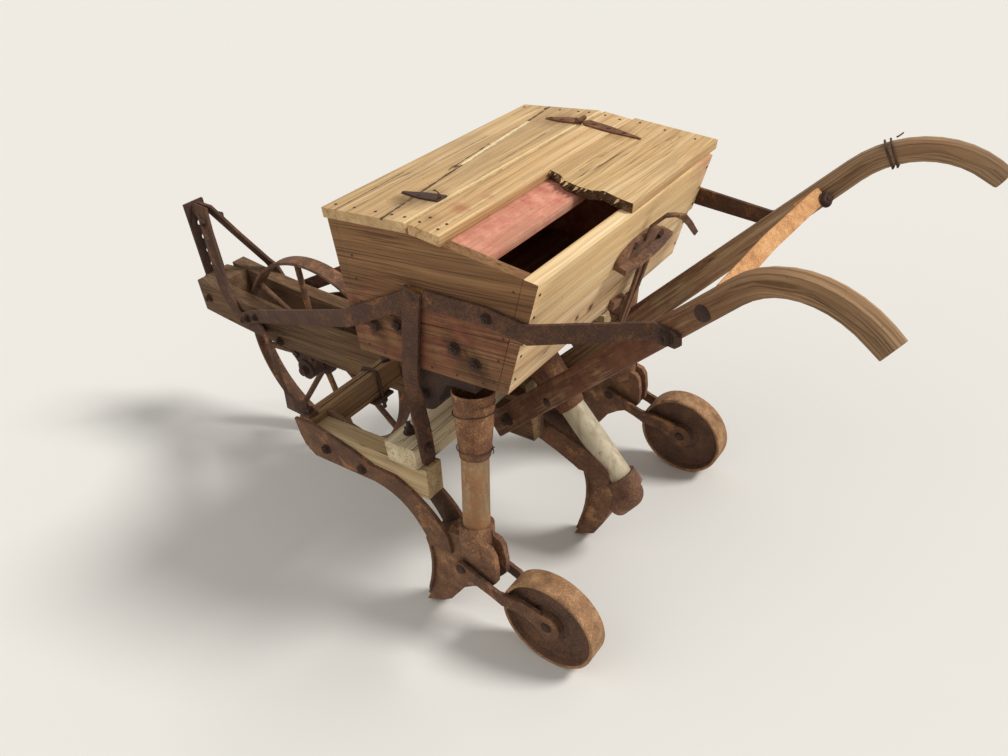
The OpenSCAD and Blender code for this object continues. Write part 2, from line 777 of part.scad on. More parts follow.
module lid_hinge_moving() {
    y = -hinge_y;
    k = knuckle - 0.3;
    color(dark_rust) difference() {
        union() {
            rod(flat_end_x, pin_z, y - k, y + k, hinge_rise - seat);
            on_slope() translate([0, 0, top_t + seat]) linear_extrude(leaf_t) polygon([
                [1.5, y - k], [1.5, y + k], [-3, y + k], [-12, y + 13], [-60, y + 12], [-132, y + 2],
                [-132, y - 2], [-60, y - 12], [-12, y - 13], [-3, y - k]]);
        }
        rod(flat_end_x, pin_z, y - 20, y + 20, hinge_pin_r + play);
    }
}

// Shut-off lever on the rear wall

// Point at u along Y, v up the wall from the floor and w out of the upper board's face
function wall_point(u, v, w) = [rear_foot_x - rear_step - seat, u, floor_z]
    + v * [-sin(rear_angle), 0, cos(rear_angle)] + w * [-cos(rear_angle), 0, -sin(rear_angle)];

// Local X, Y and Z are the u, v and w of wall_point
module on_rear_wall() {
    o = wall_point(0, 0, 0);
    u = wall_point(1, 0, 0) - o;
    v = wall_point(0, 1, 0) - o;
    w = wall_point(0, 0, 1) - o;
    multmatrix([for (i = [0:2]) [u[i], v[i], w[i], o[i]]]) children();
}

// Boat-shaped casting with a rim, and a small bracket on the lower board
casting_t = 10;
module shutoff_plate() {
    color(dark_rust) on_rear_wall() {
        linear_extrude(casting_t) polygon([[26, 128], [27, 146], [14, 160], [-26, 171],
            [-76, 171], [-116, 160], [-156, 136], [-150, 121], [-128, 112], [-92, 102],
            [-36, 106]]);
        linear_extrude(26) polygon([[26, 128], [27, 140], [-30, 131], [-90, 129], [-126, 136],
            [-152, 142], [-152, 132], [-128, 122], [-92, 117], [-36, 118]]);
        translate([0, 0, -rear_step * cos(rear_angle)]) linear_extrude(12)
            polygon([[-24, 24], [-24, 4], [-62, 0], [-70, 18]]);
    }
}

// Curved spring bar on the casting, and a fork that goes down to an arm on the feed shaft
module shutoff_lever() {
    t = 6;
    arm_y = -66;
    foot = wall_point(arm_y, -56, 18);
    out = wall_point(0, 0, 1) - wall_point(0, 0, 0);
    color(rust) {
        ribbon([[wall_point(-58, 160, casting_t + 2.2), out, 14],
            [wall_point(-60, 192, 14), [-1, 0.1, 0.2], 14],
            [[-446, -62, rim_z - 75], [-0.3, 0, 1], 14],
            [[-461, -66, rim_z - 73], [0.2, 0.1, 1], 14],
            [[-471, -78, rim_z - 80], [0.8, 0.3, 1], 13],
            [[-472, -98, rim_z - 100], [1, 0.2, 0.9], 12],
            [[-462, -144, rim_z - 140], [1, 0, 0.6], 10]], 4);
        for (k = [-1, 1]) ribbon([[wall_point(-85 + 14 * k, 115, casting_t + seat + t / 2), out, 13],
            [wall_point(-80 + 12 * k, 60, 15), out, 12],
            [wall_point(arm_y + 7.5 * k, -34, 18), out, 11],
            [wall_point(arm_y + 5.2 * k, -60, 18), out, 10]], t);
        // Arm between the fork's foot and the shaft
        difference() {
            union() {
                ribbon([[foot - [2, 0, 0], [0, 1, 0], 16], [[-300, arm_y, feed_z - 6], [0, 1, 0], 18],
                    [[feed_x - 16, arm_y, feed_z - 2], [0, 1, 0], 22]], t);
                rod(feed_x, feed_z, arm_y - 10, arm_y + 10, 2 * feed_r);
            }
            rod(feed_x, feed_z, arm_y - 20, arm_y + 20, feed_r + seat);
        }
    }
}

// Handles

function handle_y(x) = handle_front_y + tan(handle_splay) * (handle_front_x - x);
function handle_z(x) = handle_front_z
    + tan(handle_rise) * (handle_front_x - x) / cos(handle_splay);

// Centre line of a handle in its own plane, with the half height of the section there
function handle_line() = let (
    n = 10,
    h = handle_rise,
    a = [handle_straight * cos(h), handle_straight * sin(h)],
    c = a + handle_bend_r * [sin(h), -cos(h)],
    e = h - handle_bend)
    concat(
        [for (i = [0:8]) let (t = i / 8) [a.x * t, a.y * t, 28 - 8 * t, h]],
        [for (i = [1:n]) let (g = h - handle_bend * i / n)
            [c.x - handle_bend_r * sin(g), c.y + handle_bend_r * cos(g), 20 - 1 * i / n, g]],
        [let (p = c + handle_bend_r * [-sin(e), cos(e)]) [p.x + grip_len * cos(e),
            p.y + grip_len * sin(e), 18, e]]);

// Rounded rectangle with half sizes a and b
function ring(a, b, r) = [for (k = [0:3]) for (j = [0:2])
    let (g = 90 * k + 45 * j, sx = (k == 0 || k == 3) ? 1 : -1, sy = k < 2 ? 1 : -1)
    [sx * (a - r) + r * cos(g), sy * (b - r) + r * sin(g)]];

module handle(right) {
    line = handle_line();
    m = 12;
    pts = [for (p = line) let (r = min(12, 4 + p.x * 0.012))
        for (q = ring(handle_t / 2, p[2], r))
            [p.x - q.y * sin(p[3]), q.x, p.y + q.y * cos(p[3])]];
    rows = len(line);
    faces = concat([[for (k = [0:m - 1]) k]],
        [for (i = [0:rows - 2]) for (k = [0:m - 1])
            [i * m + k, (i + 1) * m + k, (i + 1) * m + (k + 1) % m, i * m + (k + 1) % m]],
        [[for (k = [m - 1:-1:0]) (rows - 1) * m + k]]);
    color(red_paint) mirrored(right) difference() {
        translate([handle_front_x, handle_front_y, handle_front_z])
            rotate([0, 0, 180 - handle_splay]) polyhedron(pts, faces, convexity = 4);
        translate([beam_rear_x - 100, 0, 0]) cube([400, beam_out + seat, rim_z]);
    }
}
module handle_left() { handle(false); }
module handle_right() { handle(true); }

// Centre line of a flat iron of thickness t against the inner or the outer side of a handle
function beside_handle(x, side, t) = [x, handle_y(x)
    + side * ((handle_t / 2 + t / 2) / cos(handle_splay) + seat), handle_z(x)];

module handle_spreader() {
    w = 28;
    t = 6;
    way = [-cos(handle_rise), 0, sin(handle_rise)];
    function at(x, s) = let (p = beside_handle(x, -1, t)) [p.x, s * p.y, p.z];
    function side(s) = [sin(handle_splay), s * cos(handle_splay), 0];
    function tab(s) = [[at(spreader_x + 34, s), side(s), w], [at(spreader_x, s), side(s), w],
        [at(spreader_x - 3, s) - [0, s * 9, 0], [-0.7, s * 0.7, 0.5], w],
        [at(spreader_x - 3, s) - [-4, s * 24, 2], way, w]];
    mid = (at(spreader_x, 1) + at(spreader_x, -1)) / 2 + [8, 0, -2];
    color(rust) ribbon(concat(tab(1), [[mid, way, w]], flipped(tab(-1))), t);
}

// Straps

strap_bolt_x = -598;
outward = [0, 1, 0];
handle_side = [sin(handle_splay), cos(handle_splay), 0];

// Long strap from the main beam up along the hopper's end and back to the handle
module side_strap(right) {
    beam_side = leg_y + leg_t / 2 + seat + strap_t / 2;
    end = beside_handle(strap_bolt_x, 1, strap_t);
    aft = beside_handle(strap_bolt_x - 16, 1, strap_t);
    tip = beside_handle(strap_bolt_x - 25, 1, strap_t);
    fore = beside_handle(strap_bolt_x + 26, 1, strap_t);
    color(rust) mirrored(right) ribbon([
        [[716, beam_side, 390], outward, strap_w],
        [[672, beam_side, 408], outward, strap_w],
        [[36, strap_y, rim_z - 206], outward, strap_w],
        [[-162, strap_y, rim_z - 118], outward, strap_w],
        [[-313, strap_y, rim_z - 122], outward, strap_w],
        [[-394, strap_y, rim_z - 137], outward, strap_w],
        [[fore.x, fore.y, end.z - 6], handle_side, strap_w * 0.85],
        [[aft.x, aft.y, end.z - 6], handle_side, strap_w * 0.8],
        [[tip.x, tip.y, end.z - 6], handle_side, strap_w * 0.4]], strap_t);
}
module side_strap_left() { side_strap(false); }
module side_strap_right() { side_strap(true); }

// Strap from the peak of the side strap down to the rear face of the rear cross beam
module post_strap(right) {
    foot_x = rear_cross_x - rear_cross_t - seat - strap_t / 2;
    foot_y = row_y - 3;
    rearward = [-1, 0, 0];
    function twisted(part) = row_bar_z + part * (floor_z - row_bar_z);
    color(rust) mirrored(right) ribbon([
        [[-166, post_y, rim_z - 100], outward, strap_w],
        [[-152, post_y, rim_z - 145], outward, strap_w + 2],
        [[-118, post_y, floor_z - 15], outward, strap_w],
        [[-122, post_y + 3, twisted(0.8)], [-0.3, 1, 0], strap_w - 4],
        [[-128, post_y + 8, twisted(0.68)], [-1, 1, 0], strap_w - 6],
        [[foot_x + 2, foot_y, twisted(0.56)], [-1, 0.3, 0], strap_w - 4],
        [[foot_x, foot_y, twisted(0.44)], rearward, strap_w],
        [[foot_x, foot_y, row_bar_z + 10], rearward, strap_w - 2],
        [[foot_x, foot_y, row_bar_z + seat], rearward, strap_w - 14]], strap_t);
}
module post_strap_left() { post_strap(false); }
module post_strap_right() { post_strap(true); }

// Hitch

module hitch_plate() {
    foot = beam_z(beam_front_x) - 66;
    color(dark_rust) difference() {
        translate([hitch_x - leg_t, -hitch_w / 2, foot]) cube([leg_t, hitch_w, hitch_top_z - foot]);
        for (i = [0:hitch_holes - 1])
            translate([hitch_x - 2 * leg_t, 0, hitch_top_z - hitch_first - hitch_pitch * i])
                rotate([0, 90, 0]) cylinder(r = hitch_hole_r, h = 3 * leg_t);
    }
}

// Leg from the hitch down over the beam's outer side and on to the front cross beam's end
module hitch_leg(right) {
    side_z = 452;
    top_y = seat / 2 + leg_t * 0.54;
    lean = atan((leg_y - top_y) / (hitch_top_z - side_z));
    function down(x, z) = [x, top_y + (hitch_top_z - z) * tan(lean), z];
    leaning = [0, cos(lean), sin(lean)];
    level = front_cross_z + seat + leg_t / 2;
    end_y = row_y + 12;
    color(rust) mirrored(right) ribbon([
        [down(hitch_x - leg_t - 5, hitch_top_z - 9), leaning, 16],
        [down(beam_front_x - 20, hitch_top_z - 23), leaning, 40],
        [down(beam_front_x - 62, hitch_top_z - 99), leaning, 36],
        [down(beam_front_x - 115, side_z + 20), leaning, 36],
        [[beam_front_x - 126, leg_y, side_z], outward, 36],
        [[beam_front_x - 158, leg_y, side_z - 54], outward, 34],
        [[beam_front_x - 196, leg_y, side_z - 78], outward, 30],
        [[beam_front_x - 240, leg_y, side_z - 80], outward, 28],
        [[front_cross_x + 104, end_y - 44, level - 20.15], outward, 26],
        [[268, 320, 400], [0, 0.7, 0.7], 24],
        [[front_cross_x + 12, end_y - 6, level], [0, 0, 1], 24],
        [[front_cross_x - front_cross_t + 2, end_y - 2, level], [0, 0, 1], 24]], leg_t);
}
module hitch_leg_left() { hitch_leg(false); }
module hitch_leg_right() { hitch_leg(true); }

// Seed tubes and feed

// Lower part of a tube, which ends a little way inside its sleeve
module seed_tube(foot, top) {
    len = norm(top - foot) * sleeve_start + sleeve_lap;
    color(zinc) along(foot, top) difference() {
        cylinder(r = tube_r, h = len);
        translate([0, 0, -1]) cylinder(r = tube_r - tube_wall, h = len + 2);
    }
}
module seed_tube_left() { seed_tube(outer_foot(left_row), outer_top(left_row)); }
module seed_tube_centre() { seed_tube(centre_foot, centre_top); }
module seed_tube_right() { seed_tube(outer_foot(right_row), outer_top(right_row)); }

// Sheet funnel over the upper part of a tube, which fits the tube at its narrow lower end
module seed_sleeve(foot, top) {
    start = norm(top - foot) * sleeve_start;
    len = norm(top - foot) - start;
    color(rust) along(foot, top) difference() {
        translate([0, 0, start]) cylinder(r1 = tube_r + sleeve_wall, r2 = tube_r + sleeve_top, h = len);
        translate([0, 0, start - 1]) cylinder(r = tube_r + sleeve_play, h = len + 2);
        translate([0, 0, start + sleeve_lap])
            cylinder(r1 = tube_r + sleeve_play, r2 = tube_r + sleeve_top - sleeve_wall,
                h = len - sleeve_lap + 0.5);
    }
}
module seed_sleeve_left() { seed_sleeve(outer_foot(left_row), outer_top(left_row)); }
module seed_sleeve_centre() { seed_sleeve(centre_foot, centre_top); }
module seed_sleeve_right() { seed_sleeve(outer_foot(right_row), outer_top(right_row)); }

feed_x = -123;
feed_drop = 64;
feed_z = floor_z - feed_drop;
feed_r = 10;
cup_r = 36;
cup_w = 44;
cup_places = [tube_top_y, 0, -tube_top_y];

module feed_shaft() {
    color(dark_rust) rod(feed_x, feed_z, -tube_top_y - 30, tube_top_y + 30, feed_r);
}

// Round castings under the floor that hold the feed wheels. Each takes seed from an opening
// in the floor and drops it through a chute into its tube
module feed_cups() {
    wall = 6;
    top = floor_z - seat;
    color(dark_rust) for (y = cup_places) {
        end_x = y == 0 ? centre_top.x : tube_top_x;
        drop_z = y == 0 ? centre_top.z + 26 : tube_top_z + 12;
        lip_x = end_x + (y == 0 ? 26 : 42);
        difference() {
            union() {
                rod(feed_x, feed_z, y - cup_w / 2, y + cup_w / 2, cup_r);
                plate([[feed_x + cup_r, feed_z], [feed_x + cup_r, top], [end_x - 26, top],
                    [end_x - 26, drop_z], [lip_x, drop_z], [feed_x - cup_r, feed_z]], cup_w, y);
            }
            // Chute, open at the top under the floor and at the bottom over the tube
            plate([[feed_x + cup_r - wall, top + 1], [end_x - 26 + wall, top + 1],
                [end_x - 26 + wall, drop_z - 1], [end_x + 26 - wall, drop_z - 1],
                [min(end_x + 26, feed_x - cup_r + wall), top - 26], [feed_x - 14, feed_z + 26],
                [feed_x + cup_r - wall, feed_z + 26]], cup_w - 2 * wall, y);
            rod(feed_x, feed_z, y - cup_w, y + cup_w, feed_r + play);
        }
    }
}

main_beam_left();
main_beam_right();
cross_block();
hitch_plate();
hitch_leg_left();
hitch_leg_right();
front_cross_beam();
rear_cross_beam();
row_bar_left();
row_bar_centre();
row_bar_right();
standard_left();
standard_centre();
standard_right();
boot_left();
boot_centre();
boot_right();
shovel_left();
shovel_centre();
shovel_right();
press_arms_left();
press_arms_right();
press_pins_left();
press_pins_right();
press_wheel_left();
press_wheel_right();
axle_hanger_left();
axle_hanger_right();
drive_rim();
drive_spokes();
drive_hub();
hopper_front();
hopper_end_left();
hopper_end_right();
hopper_rear_upper();
hopper_rear_lower();
hopper_floor();
hopper_cover();
hopper_top();
lid_rail();
lid_board();
lid_hinge_fixed();
lid_hinge_moving();
side_strap_left();
side_strap_right();
post_strap_left();
post_strap_right();
handle_left();
handle_right();
handle_spreader();
seed_tube_left();
seed_tube_centre();
seed_tube_right();
seed_sleeve_left();
seed_sleeve_centre();
seed_sleeve_right();
feed_shaft();
feed_cups();
shutoff_plate();
shutoff_lever();
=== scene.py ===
"""Looks of an old walking seed drill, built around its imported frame. Metres, +X forward, +Z up."""
import json
import math
import random

import bmesh
import bpy
from mathutils import Matrix, Vector
from mathutils.bvhtree import BVHTree


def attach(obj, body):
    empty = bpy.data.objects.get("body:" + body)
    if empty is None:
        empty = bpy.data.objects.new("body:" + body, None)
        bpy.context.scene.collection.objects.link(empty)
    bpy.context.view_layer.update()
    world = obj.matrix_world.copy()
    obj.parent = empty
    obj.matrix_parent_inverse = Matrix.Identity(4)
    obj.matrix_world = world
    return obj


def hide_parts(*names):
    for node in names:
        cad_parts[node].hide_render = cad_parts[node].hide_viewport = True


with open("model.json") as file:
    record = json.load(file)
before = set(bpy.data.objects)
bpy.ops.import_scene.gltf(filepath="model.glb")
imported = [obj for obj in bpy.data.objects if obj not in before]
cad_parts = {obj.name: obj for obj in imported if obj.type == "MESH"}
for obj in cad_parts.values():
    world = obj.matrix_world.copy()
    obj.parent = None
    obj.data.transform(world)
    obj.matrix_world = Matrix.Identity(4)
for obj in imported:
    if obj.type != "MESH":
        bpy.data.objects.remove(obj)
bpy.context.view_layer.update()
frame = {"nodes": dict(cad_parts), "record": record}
NODES = frame["nodes"]
BODY = {n: b for b, members in frame["record"]["behaviour"]["bodies"].items() for n in members}


def srgb(code):
    """Linear colour of a six-digit code."""
    parts = [int(code[i:i + 2], 16) / 255 for i in (0, 2, 4)]
    return [p / 12.92 if p <= 0.04045 else ((p + 0.055) / 1.055) ** 2.4 for p in parts] + [1.0]


def between(first, second, part):
    """Linear colour on the way from one six-digit code to another."""
    return [a + (b - a) * part for a, b in zip(srgb(first), srgb(second))]


# Materials


class Tree:
    """A node material under construction."""

    def __init__(self, name):
        self.mat = bpy.data.materials.new(name)
        self.mat.use_nodes = True
        self.nodes = self.mat.node_tree.nodes
        self.links = self.mat.node_tree.links
        self.bsdf = self.nodes["Principled BSDF"]

    def put(self, socket, value):
        """Link the socket to another one, or set its value; None leaves it alone."""
        if isinstance(value, bpy.types.NodeSocket):
            self.links.new(value, socket)
        elif value is not None:
            socket.default_value = value

    def node(self, kind, out=0, props=None, **inputs):
        """An output of a new node; an input is named by its label or as i0, i1 and so on."""
        n = self.nodes.new(kind)
        for key, value in (props or {}).items():
            setattr(n, key, value)
        for key, value in inputs.items():
            key = int(key[1:]) if key[0] == "i" and key[1:].isdigit() else key.replace("_", " ")
            self.put(n.inputs[key], value)
        return n.outputs[out]

    def math(self, op, a, b=None):
        return self.node("ShaderNodeMath", props={"operation": op}, i0=a, i1=b)

    def plus(self, a, b):
        return self.math("ADD", a, b)

    def minus(self, a, b):
        return self.math("SUBTRACT", a, b)

    def times(self, a, b):
        return self.math("MULTIPLY", a, b)

    def spread(self, fac, amount):
        """A value round 0.5 as one round 0, made wider or narrower by the amount."""
        return self.times(self.minus(fac, 0.5), amount)

    def noise(self, coord, scale, detail, rough=0.55, distort=0.0, out=0):
        return self.node("ShaderNodeTexNoise", out, Vector=coord, Scale=scale, Detail=detail,
                         Roughness=rough, Distortion=distort)

    def ramp(self, fac, stops):
        n = self.nodes.new("ShaderNodeValToRGB")
        self.links.new(fac, n.inputs[0])
        band = n.color_ramp
        while len(band.elements) < len(stops):
            band.elements.new(0.5)
        for element, (at, colour) in zip(band.elements, stops):
            element.position = at
            element.color = colour if not isinstance(colour, (int, float)) else [colour] * 3 + [1]
        return n.outputs[0]

    def mix(self, fac, a, b, blend="MIX"):
        return self.node("ShaderNodeMix", 2, {"data_type": "RGBA", "blend_type": blend},
                         i0=fac, i6=a, i7=b)

    def scaled(self, coord, scale, move=(0, 0, 0)):
        return self.node("ShaderNodeMapping", Vector=coord, Scale=scale, Location=move)

    def bump(self, height, strength, distance):
        return self.node("ShaderNodeBump", Height=height, Strength=strength, Distance=distance)

    def finish(self, colour, roughness, normal, specular, metallic=0.0):
        self.put(self.bsdf.inputs["Base Color"], colour)
        self.put(self.bsdf.inputs["Roughness"], roughness)
        self.put(self.bsdf.inputs["Normal"], normal)
        self.bsdf.inputs["Metallic"].default_value = metallic
        self.bsdf.inputs["Specular IOR Level"].default_value = specular
        return self.mat


# Turn about Z that takes the axis of the grain to the noise's X axis
GRAIN_TURN = {"X": 0.0, "Y": -math.pi / 2}


def segment_mask(t, place, start, end, width, ragged):
    """1 on the line from start to end, 0 beyond its width, with a ragged edge."""
    way = Vector(end) - Vector(start)
    from_start = t.node("ShaderNodeVectorMath", props={"operation": "SUBTRACT"}, i0=place, i1=start)
    along = t.node("ShaderNodeVectorMath", 1, {"operation": "DOT_PRODUCT"}, i0=from_start,
                   i1=way / way.length_squared)
    along = t.math("MINIMUM", t.math("MAXIMUM", along, 0.0), 1.0)
    foot = t.node("ShaderNodeVectorMath", props={"operation": "SCALE"}, i0=way, i3=along)
    away = t.node("ShaderNodeVectorMath", 1, {"operation": "DISTANCE"}, i0=from_start,
                  i1=foot)
    away = t.plus(away, t.spread(ragged, width * 2.2))
    return t.ramp(t.math("DIVIDE", away, width), [(0.35, 1.0), (1.0, 0.0)])


def wood(name, grain, light, mid, dark, seed, weather, grey="8f8474", cracks=0.5, paint=None,
         paint_left=0.5, paint_below=None, fade=None, stains=(), cuts_and_highlights=(), figure=0.25, late_wood=0.5,
         fine=1.0, tilt=0.0):
    """Wood with growth lines, fibres, cracks and greying, and worn paint where paint is a pair.

    paint_below is the height up to which the paint holds, the way above it over which it goes, and
    the share that is left there. fade is the start, the end and the share left along the grain.
    stains are (centre, reach, strength, colour), cuts_and_highlights are (start, end, width, colour,
    strength): dark cuts and gaps, some of them also painted shade, and pale lines that are painted
    highlights.
    """
    t = Tree(name)
    place = t.node("ShaderNodeTexCoord", 3)
    if grain == "attribute":
        raw = t.node("ShaderNodeAttribute", 1, {"attribute_name": "grain"})
    else:
        raw = t.node("ShaderNodeMapping", Vector=place, Rotation=(0, tilt, GRAIN_TURN[grain]))
    rng = random.Random(seed)
    shift = (rng.uniform(-1, 1), rng.uniform(-0.1, 0.1), rng.uniform(-0.1, 0.1))
    coord = t.scaled(raw, (1, 1, 1), shift)
    sway = t.noise(t.scaled(coord, (1.3, 6, 6)), 1.0, 2.0, 0.5, 0.0, 1)
    bent = t.node("ShaderNodeVectorMath", props={"operation": "MULTIPLY_ADD"}, i0=sway,
                  i1=(0.0, 0.035, 0.035), i2=coord)
    rings = t.node("ShaderNodeTexWave", 0, {"wave_type": "RINGS", "rings_direction": "X"},
                   Vector=t.scaled(bent, (0.07, 1, 1), (0, 0.11, 0.07)), Scale=58, Distortion=1.6,
                   Detail=2.0, Detail_Scale=0.5, Detail_Roughness=0.5)
    streak = t.noise(t.scaled(bent, (1.2 * fine, 34 * fine, 34 * fine)), 1.0, 4.0, 0.6)
    lines = t.noise(t.scaled(bent, (2.0 * fine, 250 * fine, 250 * fine)), 1.0, 3.0, 0.55)
    fibre = t.noise(t.scaled(bent, (9 * fine, 460 * fine, 460 * fine)), 1.0, 4.0, 0.6)
    patch = t.noise(coord, 6.5, 5.0, 0.62)
    colour = t.ramp(streak, [(0.28, between(dark, mid, 0.6)), (0.48, srgb(mid)), (0.72, srgb(light))])
    late = t.times(t.ramp(lines, [(0.50, 0.0), (0.63, 1.0)]), late_wood)
    colour = t.mix(late, colour, srgb(dark))
    growth = t.times(t.ramp(rings, [(0.66, 0.0), (0.94, 1.0)]), figure)
    colour = t.mix(growth, colour, srgb(dark))
    greyed = t.ramp(patch, [(0.5 - 0.22 * weather, 0.0), (0.80 - 0.2 * weather, 1.0)])
    tone = t.mix(t.ramp(lines, [(0.35, 0.0), (0.62, 1.0)]), srgb(grey), srgb(dark))
    colour = t.mix(t.times(greyed, min(1.0, weather * 1.2)), colour, tone)
    colour = t.mix(0.75, colour, t.ramp(fibre, [(0.28, 0.74), (0.70, 1.16)]), "MULTIPLY")
    height = t.plus(t.times(lines, -0.9), t.times(fibre, 0.6))
    if paint:
        hold = t.noise(t.scaled(bent, (7, 80, 80)), 1.0, 7.0, 0.68)
        wide = t.noise(coord, 9.0, 5.0, 0.65)
        held = t.plus(t.times(hold, 0.55), t.times(wide, 0.45))
        keep = t.ramp(held, [(0.60 - 0.24 * paint_left, 0.0), (0.70 - 0.22 * paint_left, 1.0)])
        if paint_below:
            line, way, left = paint_below
            level = t.plus(t.node("ShaderNodeSeparateXYZ", 2, Vector=place), t.spread(patch, 0.05))
            keep = t.times(keep, t.node("ShaderNodeMapRange", Value=level, From_Min=line,
                                        From_Max=line + way, To_Min=1.0, To_Max=left))
        if fade:
            start, end, left = fade
            run = t.node("ShaderNodeSeparateXYZ", 0, Vector=raw)
            keep = t.times(keep, t.node("ShaderNodeMapRange", Value=run, From_Min=start,
                                        From_Max=end, To_Min=1.0, To_Max=left))
        shade = t.ramp(t.noise(coord, 34.0, 6.0, 0.72), [(0.34, srgb(paint[0])), (0.66, srgb(paint[1]))])
        shade = t.mix(t.times(late, 0.7), shade, srgb(dark))
        colour = t.mix(t.times(keep, 0.9), colour, shade)
        height = t.plus(height, t.times(keep, 0.25))
    if cracks:
        veins = t.noise(t.scaled(bent, (1.5, 46, 46), (3, 1, 2)), 1.0, 3.0, 0.5)
        gap = t.math("ABSOLUTE", t.minus(veins, 0.5))
        where = t.ramp(t.noise(t.scaled(coord, (2.5, 9, 9), (5, 5, 5)), 1.0, 2.0),
                       [(0.60 - 0.14 * cracks, 0.0), (0.68 - 0.10 * cracks, 1.0)])
        crack = t.times(t.ramp(gap, [(0.0, 1.0), (0.012, 0.0)]), where)
        colour = t.mix(t.times(crack, 0.8), colour, srgb("20160f"))
        height = t.minus(height, t.times(crack, 1.6))
    edge = t.noise(coord, 60.0, 3.0, 0.6)
    for start, end, width, tint, amount in cuts_and_highlights:
        mask = t.times(segment_mask(t, place, start, end, width, edge), amount)
        colour = t.mix(mask, colour, srgb(tint))
        height = t.minus(height, t.times(mask, 1.2))
    for at, reach, strength, tint in stains:
        away = t.node("ShaderNodeVectorMath", 1, {"operation": "DISTANCE"}, i0=place, i1=at)
        ragged = t.plus(away, t.spread(edge, reach * 0.9))
        near = t.ramp(t.math("DIVIDE", ragged, reach), [(0.2, strength), (1.0, 0.0)])
        colour = t.mix(near, colour, srgb(tint))
    speck = t.ramp(t.noise(coord, 150.0, 3.0, 0.7), [(0.27, 1.0), (0.34, 0.0)])
    colour = t.mix(t.times(speck, 0.7), colour, srgb("4a3626"))
    relief = t.bump(height, 0.6, 0.0012)
    wear = t.node("ShaderNodeMapRange", Value=fibre, To_Min=0.76, To_Max=0.96)
    return t.finish(colour, wear, relief, specular=0.22)


def rust(name, dark, mid, light, scale, bright, pits=1.0, seed=0, flake=None):
    """Rusted iron: dark scale with lighter bloom, pits, and patches of flake's colour and amount."""
    t = Tree(name)
    coord = t.scaled(t.node("ShaderNodeTexCoord", 3), (1, 1, 1), (seed * 0.37, seed * 0.71, seed * 0.13))
    broad = t.noise(coord, scale * 0.28, 5.0, 0.65)
    bloom = t.noise(coord, scale, 8.0, 0.72)
    fine = t.noise(coord, scale * 11, 4.0, 0.7)
    scaling = t.plus(t.times(bloom, 0.6), t.times(broad, 0.4))
    scaling = t.plus(t.times(scaling, 0.85), t.times(fine, 0.15))
    colour = t.ramp(scaling, [(0.34, srgb(dark)), (0.5, srgb(mid)), (0.72 - 0.1 * bright, srgb(light))])
    if flake:
        tint, amount = flake
        mask = t.ramp(t.noise(coord, scale * 0.55, 7.0, 0.7, 0.4),
                      [(0.62 - 0.2 * amount, 0.0), (0.70 - 0.16 * amount, 1.0)])
        colour = t.mix(t.times(mask, 0.85), colour, srgb(tint))
    grain = t.ramp(fine, [(0.36, 0.5), (0.5, 0.95), (0.64, 1.35)])
    colour = t.mix(0.85, colour, grain, "MULTIPLY")
    cells = t.node("ShaderNodeTexVoronoi", Vector=coord, Scale=scale * 5.5)
    height = t.plus(t.times(bloom, 1.2), t.times(fine, 0.5))
    height = t.plus(height, t.times(cells, 0.5 * pits))
    relief = t.bump(height, 0.55, 0.0011)
    gloss = t.node("ShaderNodeMapRange", Value=bloom, From_Min=0.3, From_Max=0.7,
                   To_Min=0.66, To_Max=0.94)
    return t.finish(colour, gloss, relief, specular=0.35)


def zinc(name, bright, dull, stain, rusty, seed):
    """Old zinc sheet: dull patches, rust freckles and streaks down the tube."""
    t = Tree(name)
    coord = t.scaled(t.node("ShaderNodeTexCoord", 3), (1, 1, 1), (seed * 0.3, 0, seed * 0.2))
    streak = t.noise(t.scaled(coord, (60, 60, 7)), 1.0, 6.0, 0.6)
    cloud = t.noise(coord, 22.0, 6.0, 0.65)
    colour = t.ramp(cloud, [(0.36, srgb(dull)), (0.66, srgb(bright))])
    colour = t.mix(t.ramp(streak, [(0.46, 0.0), (0.64, 0.65)]), colour, srgb(stain))
    freckle = t.noise(coord, 75.0, 7.0, 0.75)
    both = t.plus(t.times(freckle, 0.5), t.times(cloud, 0.5))
    spots = t.ramp(both, [(0.58 - 0.16 * rusty, 0.0), (0.64 - 0.12 * rusty, 1.0)])
    brown = t.ramp(freckle, [(0.35, srgb("6e482f")), (0.62, srgb("a06f47"))])
    colour = t.mix(t.times(spots, 0.8), colour, brown)
    height = t.plus(t.times(spots, 0.4), t.times(freckle, 0.6))
    relief = t.bump(height, 0.4, 0.0007)
    gloss = t.node("ShaderNodeMapRange", Value=spots, To_Min=0.46, To_Max=0.85)
    return t.finish(colour, gloss, relief, specular=0.45, metallic=0.15)


def knot(at, reach):
    """A dark knot with a brown rim, as two stains."""
    return [(at, reach * 1.7, 0.6, "7a5232"), (at, reach, 0.95, "3b2415")]


# The hopper: the outer face of its end walls, the ends of the boards across it and its top
HALF_WIDTH = 0.300
BOARD_END = 0.310
TOP_Z = 0.883
NUT_SPOTS = [(-0.042, 0.660), (-0.101, 0.676), (-0.230, 0.659), (-0.272, 0.638)]


def end_stains(side):
    """Dark rust round the nuts of one end wall, with runs under them."""
    spots = []
    for x, z in NUT_SPOTS:
        spots.append(((x, side * HALF_WIDTH, z), 0.032, 0.85, "241610"))
        spots.append(((x - 0.012, side * HALF_WIDTH, z - 0.026), 0.034, 0.5, "3a2218"))
    return spots


def top_cut_or_highlight(start, end, width, tint, amount):
    """A cut in the top boards, or a painted highlight line on them, from one place (x, y) to another."""
    return (*start, TOP_Z), (*end, TOP_Z), width, tint, amount
